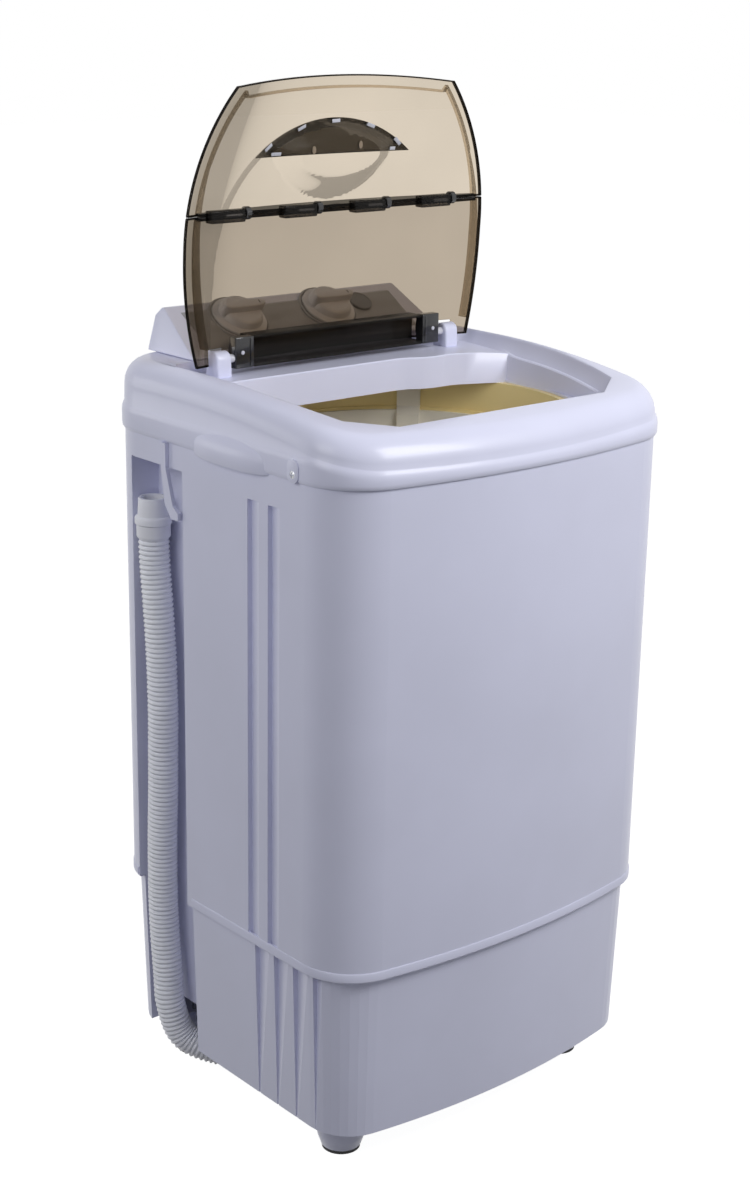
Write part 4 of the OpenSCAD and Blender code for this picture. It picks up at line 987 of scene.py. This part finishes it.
def lid_sides(z0, z1, d):
    """Outline points of the lid, drawn in by d: up its right side, and down its left side."""
    rows = round((z1 - z0) / 3)
    heights = [z0 + (z1 - z0) * j / rows for j in range(rows + 1)]
    right = [(lid_half_width(z, d), z) for z in heights]
    return right, [(-x, z) for x, z in reversed(right)]


def lid_over(z0, z1, d):
    """Outline points of the lid, drawn in by d: up the right side, over the top and down the left side."""
    right, left = lid_sides(z0, z1, d)
    half = right[-1][0]
    across = [half - 2 * half * i / 90 for i in range(1, 90)]
    return right + [(x, lid_top_edge(x, d)) for x in across] + left


def ribbon(name, line, low, body, look):
    """A wall on the lid's inner side that follows a line of (x, z), where low gives y at its free edge."""
    verts, faces = [], []
    n = len(line)
    for k, (x, z) in enumerate(line):
        along = heading(line, k)
        inward = Vector((-along.y, along.x)) * LID_WALL
        for px, pz in ((x, z), (x + inward.x, z + inward.y)):
            verts += [Vector((px, y, pz)) * MM for y in (low(px, pz), lid_face(px, pz, True) + 0.6)]
    for k in range(n - 1):
        a, b = 4 * k, 4 * (k + 1)
        faces += [(a, b, b + 1, a + 1), (a + 2, a + 3, b + 3, b + 2), (a, a + 2, b + 2, b),
                  (a + 1, b + 1, b + 3, a + 3)]
    faces += [(0, 1, 3, 2), (4 * n - 4, 4 * n - 2, 4 * n - 1, 4 * n - 3)]
    piece(name, verts, faces, body, look, angle=40)


def flange_tip(x, z):
    """The flange's free edge: level at the sides, and close to the dome round the top."""
    if z < FLANGE_BEND:
        return TIP_Y
    return min(TIP_Y + (z - FLANGE_BEND) * 3.0, dome_at(x, z, -LID_WALL) - 4)


def make_lid():
    lid_shell("lid_rear_shell", rear_grid(), "lid", "smoked_lid", ["lid_rear_panel"])
    lid_shell("lid_front_shell", front_grid(), "lid_flap", "smoked_flap", ["lid_front_panel"])
    right, left = lid_sides(LID_FOOT + 18, FOLD_Z - FOLD_GAP, FLANGE_IN)
    ribbon("lid_rear_flange_right", right, flange_tip, "lid", "smoked_lid")
    ribbon("lid_rear_flange_left", left, flange_tip, "lid", "smoked_lid")
    over = lid_over(FOLD_Z + FOLD_GAP, FLANGE_TOP, FLANGE_IN)
    ribbon("lid_front_flange", over, flange_tip, "lid_flap", "smoked_flap")
    walls = (("rear", FOLD_Z - FOLD_GAP, "lid"), ("front", FOLD_Z + FOLD_GAP + LID_WALL, "lid_flap"))
    for name, level, body in walls:
        line = [(CROSS_HALF - 2 * CROSS_HALF * i / 120, level) for i in range(121)]
        ribbon(f"lid_{name}_cross_wall", line, lambda x, z: TIP_Y, body, "smoked_edge_painted_shade")


def lid_edge(name, line, body, grow=0.35):
    """Painted shade for the dark look of a thick clear moulding's edge, as a slim band round the shell's
    rim.
    """
    verts, faces = [], []
    n = len(line)
    for k, (x, z) in enumerate(line):
        along = heading(line, k)
        out = Vector((along.y, -along.x))
        for reach, inner in ((grow, False), (-EDGE_IN, False), (-EDGE_IN, True), (grow, True)):
            px, pz = x + out.x * reach, z + out.y * reach
            y = lid_face(px, pz, inner) + (-EDGE_PROUD if inner else EDGE_PROUD)
            verts.append(Vector((px, y, pz)) * MM)
    for k in range(n - 1):
        a, b = 4 * k, 4 * (k + 1)
        faces += [(a + i, b + i, b + (i + 1) % 4, a + (i + 1) % 4) for i in range(4)]
    faces += [(0, 3, 2, 1), tuple(4 * n - 4 + i for i in range(4))]
    piece(name, verts, faces, body, "smoked_edge_painted_shade", angle=50)


def make_lid_edges():
    right, left = lid_sides(LID_FOOT + 0.4, FOLD_Z - 1.0, 0.4)
    lid_edge("lid_rear_edge", right, "lid")
    lid_edge("lid_rear_edge_left", left, "lid")
    far = right[0][0]
    near, notch_end = NOTCH_X
    for side, x0, x1 in (("left", -far, -notch_end), ("middle", -near, near), ("right", notch_end, far)):
        foot = [(x0 + (x1 - x0) * i / 40, LID_FOOT + 0.4) for i in range(41)]
        lid_edge(f"lid_foot_edge_{side}", foot, "lid")
    lid_edge("lid_front_edge", lid_over(FOLD_Z + 1.0, SIDE_TOP - 0.4, 0.4), "lid_flap")
    half = right[-1][0] - 0.3
    across = [half * (1 - 2 * i / 90) for i in range(91)]
    lid_edge("lid_rear_fold_edge", [(x, FOLD_Z - 1.0) for x in across], "lid", grow=0.7)
    lid_edge("lid_front_fold_edge", [(-x, FOLD_Z + 1.0) for x in across], "lid_flap", grow=0.7)


# The handle: a crescent moulding on the lid's outer side, seen through the lid
def handle_section(x, z):
    """Rise of the handle over the dome: a rounded rim along the arc, lower towards the straight edge."""
    top = HANDLE_R - math.hypot(x, z - ARCH_Z)
    raised = smooth_step(top / 3.0) * smooth_step((z - HANDLE_FOOT) / 2.0)
    return 0.4 + raised * (3.0 - 1.2 * smooth_step((top - 9) / 6))


def make_handle():
    cols, rows = 120, 22
    verts, faces = [], []
    half = math.sqrt(HANDLE_R ** 2 - (HANDLE_FOOT - ARCH_Z) ** 2) - 0.6
    for side in (0, 1):
        for j in range(rows + 1):
            for i in range(cols + 1):
                x = half * (2 * i / cols - 1)
                top = ARCH_Z + math.sqrt(HANDLE_R ** 2 - x * x)
                z = HANDLE_FOOT + (top - HANDLE_FOOT) * j / rows
                y = dome_at(x, z) + ARCH_RISE + (handle_section(x, z) if side else 0.12)
                verts.append(Vector((x, y, z)) * MM)
    n, back = cols + 1, (cols + 1) * (rows + 1)
    for j in range(rows):
        for i in range(cols):
            a = j * n + i
            cell = (a, a + 1, a + n + 1, a + n)
            faces += [cell, tuple(back + k for k in reversed(cell))]
    border = [j * n + i for i, j in grid_border(cols, rows)]
    for k, a in enumerate(border):
        b = border[(k + 1) % len(border)]
        faces.append((b, a, back + a, back + b))
    obj = piece("lid_handle_moulding", verts, faces, "lid_flap", "black_plastic", ["lid_handle"], angle=30)
    obj.data.materials.append(LOOKS["handle_face"])
    for face in obj.data.polygons:
        x, y, z = face.center / MM
        if face.normal.y < -0.2 and math.hypot(x, z - ARCH_Z) < HANDLE_R - 10 and z > HANDLE_FOOT + 2:
            face.material_index = 1
    for k, (x, z, tilt) in enumerate(SNAPS):
        make_snap(f"lid_handle_clip_{k}", x, z, math.radians(tilt))
    for k, (x, z) in enumerate(PIPS):
        turned(f"lid_handle_pip_{k}", [(0, 0), (2.3, 0), (2.3, 0.5), (0, 0.5)], 20,
               lambda u, v, w, x=x, z=z: Vector((x + u, dome_at(x, z) - 0.1 - w, z + 1.6 * v)) * MM,
               "lid_flap", "clip_plastic")


def make_snap(name, x, z, tilt):
    """Pale snap of the handle, showing through its slot in the lid's inner side."""
    along = Vector((math.cos(tilt), math.sin(tilt)))
    over = Vector((-along.y, along.x))

    def in_wall(u, v, w):
        p = Vector((x, z)) + along * u + over * v
        return Vector((p.x, lid_face(p.x, p.y, True) + w, p.y)) * MM

    verts, faces = prism(oblong(-5, -1.7, 5, 1.7), -0.5, 0.3, in_wall)
    bevelled(name, verts, faces, 0.3 * MM, "lid_flap", "clip_plastic", segments=2)


# The fold line's knuckles: a black disc and a smoked cover at each
def make_fold():
    r, slim = 6.2, 5.5
    for k, x in enumerate(KNUCKLES):
        disc = [(0, x - 3), (slim, x - 3), (r, x - 2.3), (r, x + 2.3), (slim, x + 3), (0, x + 3)]
        turned(f"fold_disc_{k}", disc, 40, lambda u, v, w: Vector((w, TIP_Y + u, FOLD_Z + 1.5 + v)) * MM,
               "lid", "black_plastic")
        outline = oblong(TIP_Y - 5.4, FOLD_Z - 6, TIP_Y + 5.4, FOLD_Z + 5.6)
        verts, faces = prism(outline, x - 43.6, x - 4.4, along_x)
        bevelled(f"fold_cover_{k}", verts, faces, 1.2 * MM, "lid_flap", "smoked_dark")


# The hinge bar, a dark channel between two end blocks with a pale pin end in each, and the cover's ears
BAR_HALF = 131.0
CHANNEL_HALF = BAR_HALF - 21.4
BAR_SECTION = [(83.4, 769.2), (83.0, 771.6), (104.0, 771.8), (104.6, 742.4), (83.0, 741.8), (83.4, 744.8),
               (99.4, 745.4), (99.6, 769.0)]
BLOCK_SECTION = [(82.0, 741.8), (82.0, 772.0), (92.4, 772.0), (94.6, 757.0), (92.4, 741.8)]
RIB_SECTION = [(81.2, 743.5), (81.2, 770.4), (83.4, 770.4), (83.4, 743.5)]
PIN_DOT = [(0, 0), (2.0, 0), (2.0, 0.7), (1.5, 1.1), (0, 1.2)]
PIN_DOT_Y = 82.2
PIN_DOT_Z = 757.0
EAR_R = 8.4
EAR_NEAR = 138.0
EAR_FAR = 155.0


def make_hinge_bar():
    verts, faces = prism(BAR_SECTION, -CHANNEL_HALF, CHANNEL_HALF, along_x)
    bevelled("hinge_bar_channel", verts, faces, 0.6 * MM, "lid", "smoked_dark", ["lid_hinge_bar"])
    for s, side in SIDES:
        x0, x1 = sorted((s * (CHANNEL_HALF - 0.6), s * BAR_HALF))
        verts, faces = prism(BLOCK_SECTION, x0, x1, along_x)
        bevelled(f"hinge_bar_block_{side}", verts, faces, 1.0 * MM, "lid", "black_plastic")
        rib_x = s * (CHANNEL_HALF + 3.0)
        verts, faces = prism(RIB_SECTION, rib_x - 1.1, rib_x + 1.1, along_x)
        bevelled(f"hinge_bar_rib_{side}", verts, faces, 0.4 * MM, "lid", "black_plastic", segments=2)
        dot_x = s * (CHANNEL_HALF + 13.0)
        turned(f"hinge_pin_dot_{side}", PIN_DOT, 24,
               lambda u, v, w: Vector((dot_x + u, PIN_DOT_Y - w, PIN_DOT_Z + v)) * MM,
               "lid", "clip_plastic")


def make_ears():
    """Horns of the cover that carry the hinge pins."""
    front, rear, foot = HINGE_Y - EAR_R, HINGE_Y + EAR_R, SHELF_Z - 1.0
    turns = [math.radians(a) for a in range(12, 180, 12)]
    outline = [(front - 1, foot), (front, HINGE_Z)]
    outline += [(HINGE_Y - EAR_R * math.cos(a), HINGE_Z + EAR_R * math.sin(a)) for a in turns]
    outline += [(rear, HINGE_Z), (rear + 4, foot)]
    for s, side in SIDES:
        x0, x1 = sorted((s * EAR_NEAR, s * EAR_FAR))
        verts, faces = prism(outline, x0, x1, along_x)
        bevelled(f"cover_ear_{side}", verts, faces, 2.2 * MM, "machine", "cabinet_plastic",
                 segments=4, limit=40)


# Small parts of the body: the cabinet's lower lip, the hand grips and the tongues round the side screws
SEAM_Z = 211.0
CHANNEL_FRONT = 61.0
CHANNEL_REAR = 146.0

# Hand grips along the sides: their section gives shares of how far they stand out, and heights
GRIP_Y = -15.5
GRIP_HALF = 56.5
GRIP_OUT = 9.2
GRIP_X = 209.0
GRIP_Z = 682.0
GRIP_SECTION = [(0.0, 678.4), (0.5, 677.6), (0.86, 678.0), (1.0, 680.6), (1.0, 690.6), (0.88, 696.0),
                (0.6, 700.0), (0.3, 703.4), (0.0, 707.6)]

# Tongues round the side screws: each step of their edge is a distance from the middle plane and a growth
TONGUE_Y = -110.0
TONGUE_Z = 689.0
TONGUE_R = 8.0
TONGUE_STEPS = ((212.6, 0.0), (213.9, -0.2), (214.2, -0.9))


def make_lip():
    """Bevelled lower lip of the cabinet, a little proud over the base, open at the hose channel."""
    whole = plan(0)
    gap = [k for k, (x, y) in enumerate(whole) if x < 0 and CHANNEL_FRONT - 2 < y < CHANNEL_REAR + 2]
    line = whole[gap[-1] + 1:] + whole[:gap[0]]
    section = [(-2.0, SEAM_Z + 0.2), (0.2, SEAM_Z + 0.4), (0.9, SEAM_Z + 1.2), (0.9, SEAM_Z + 8.6),
               (0.1, SEAM_Z + 9.8), (-2.0, SEAM_Z + 9.8)]
    verts = []
    for k, (x, y) in enumerate(line):
        along = heading(line, k)
        verts += [Vector((x + along.y * out, y - along.x * out, z)) * MM for out, z in section]
    piece("cabinet_lip", verts, capped_faces(len(line), len(section)), "machine", "cabinet_plastic",
          angle=40)


def make_hand_grips():
    cols = 48
    for s, side in SIDES:
        verts = []
        for i in range(cols + 1):
            t = 2 * i / cols - 1
            fade = 1 - abs(t) ** 3.0
            out = GRIP_OUT * fade ** 0.75 + 1.4
            tall = 0.5 + 0.5 * fade ** 0.5
            y = GRIP_Y + GRIP_HALF * t
            for share, z in GRIP_SECTION:
                verts.append(Vector((s * (GRIP_X + out * share), y, GRIP_Z + (z - GRIP_Z) * tall)) * MM)
        piece(f"hand_grip_{side}", verts, capped_back(cols + 1, len(GRIP_SECTION)), "machine",
              "cabinet_plastic", angle=50)


def make_screw_tongues():
    """Small raised tongues of the cover, round the heads of its side screws."""
    n = 40
    for s, side in SIDES:
        verts = []
        for out, grow in TONGUE_STEPS:
            for k in range(n):
                a = 2 * math.pi * k / n
                dy, dz = (TONGUE_R + grow) * math.cos(a), (TONGUE_R + grow) * math.sin(a)
                dz += 5.0 if dz > 0 else -1.0
                verts.append(Vector((s * out, TONGUE_Y + dy, TONGUE_Z + dz)) * MM)
        piece(f"cover_tongue_{side}", verts, capped_back(len(TONGUE_STEPS), n), "machine",
              "cabinet_plastic", angle=30)


add_camera()
make_hose()
make_top_cover()
make_corner_plates()
make_filter_strip()
make_controls()
make_lid()
make_lid_edges()
make_handle()
make_fold()
make_hinge_bar()
make_ears()
make_lip()
make_hand_grips()
make_screw_tongues()
add_world()
add_stage()
for lamp in LAMPS:
    add_area(*lamp)
paint_frame()

bpy.context.scene.view_settings.view_transform = "Standard"
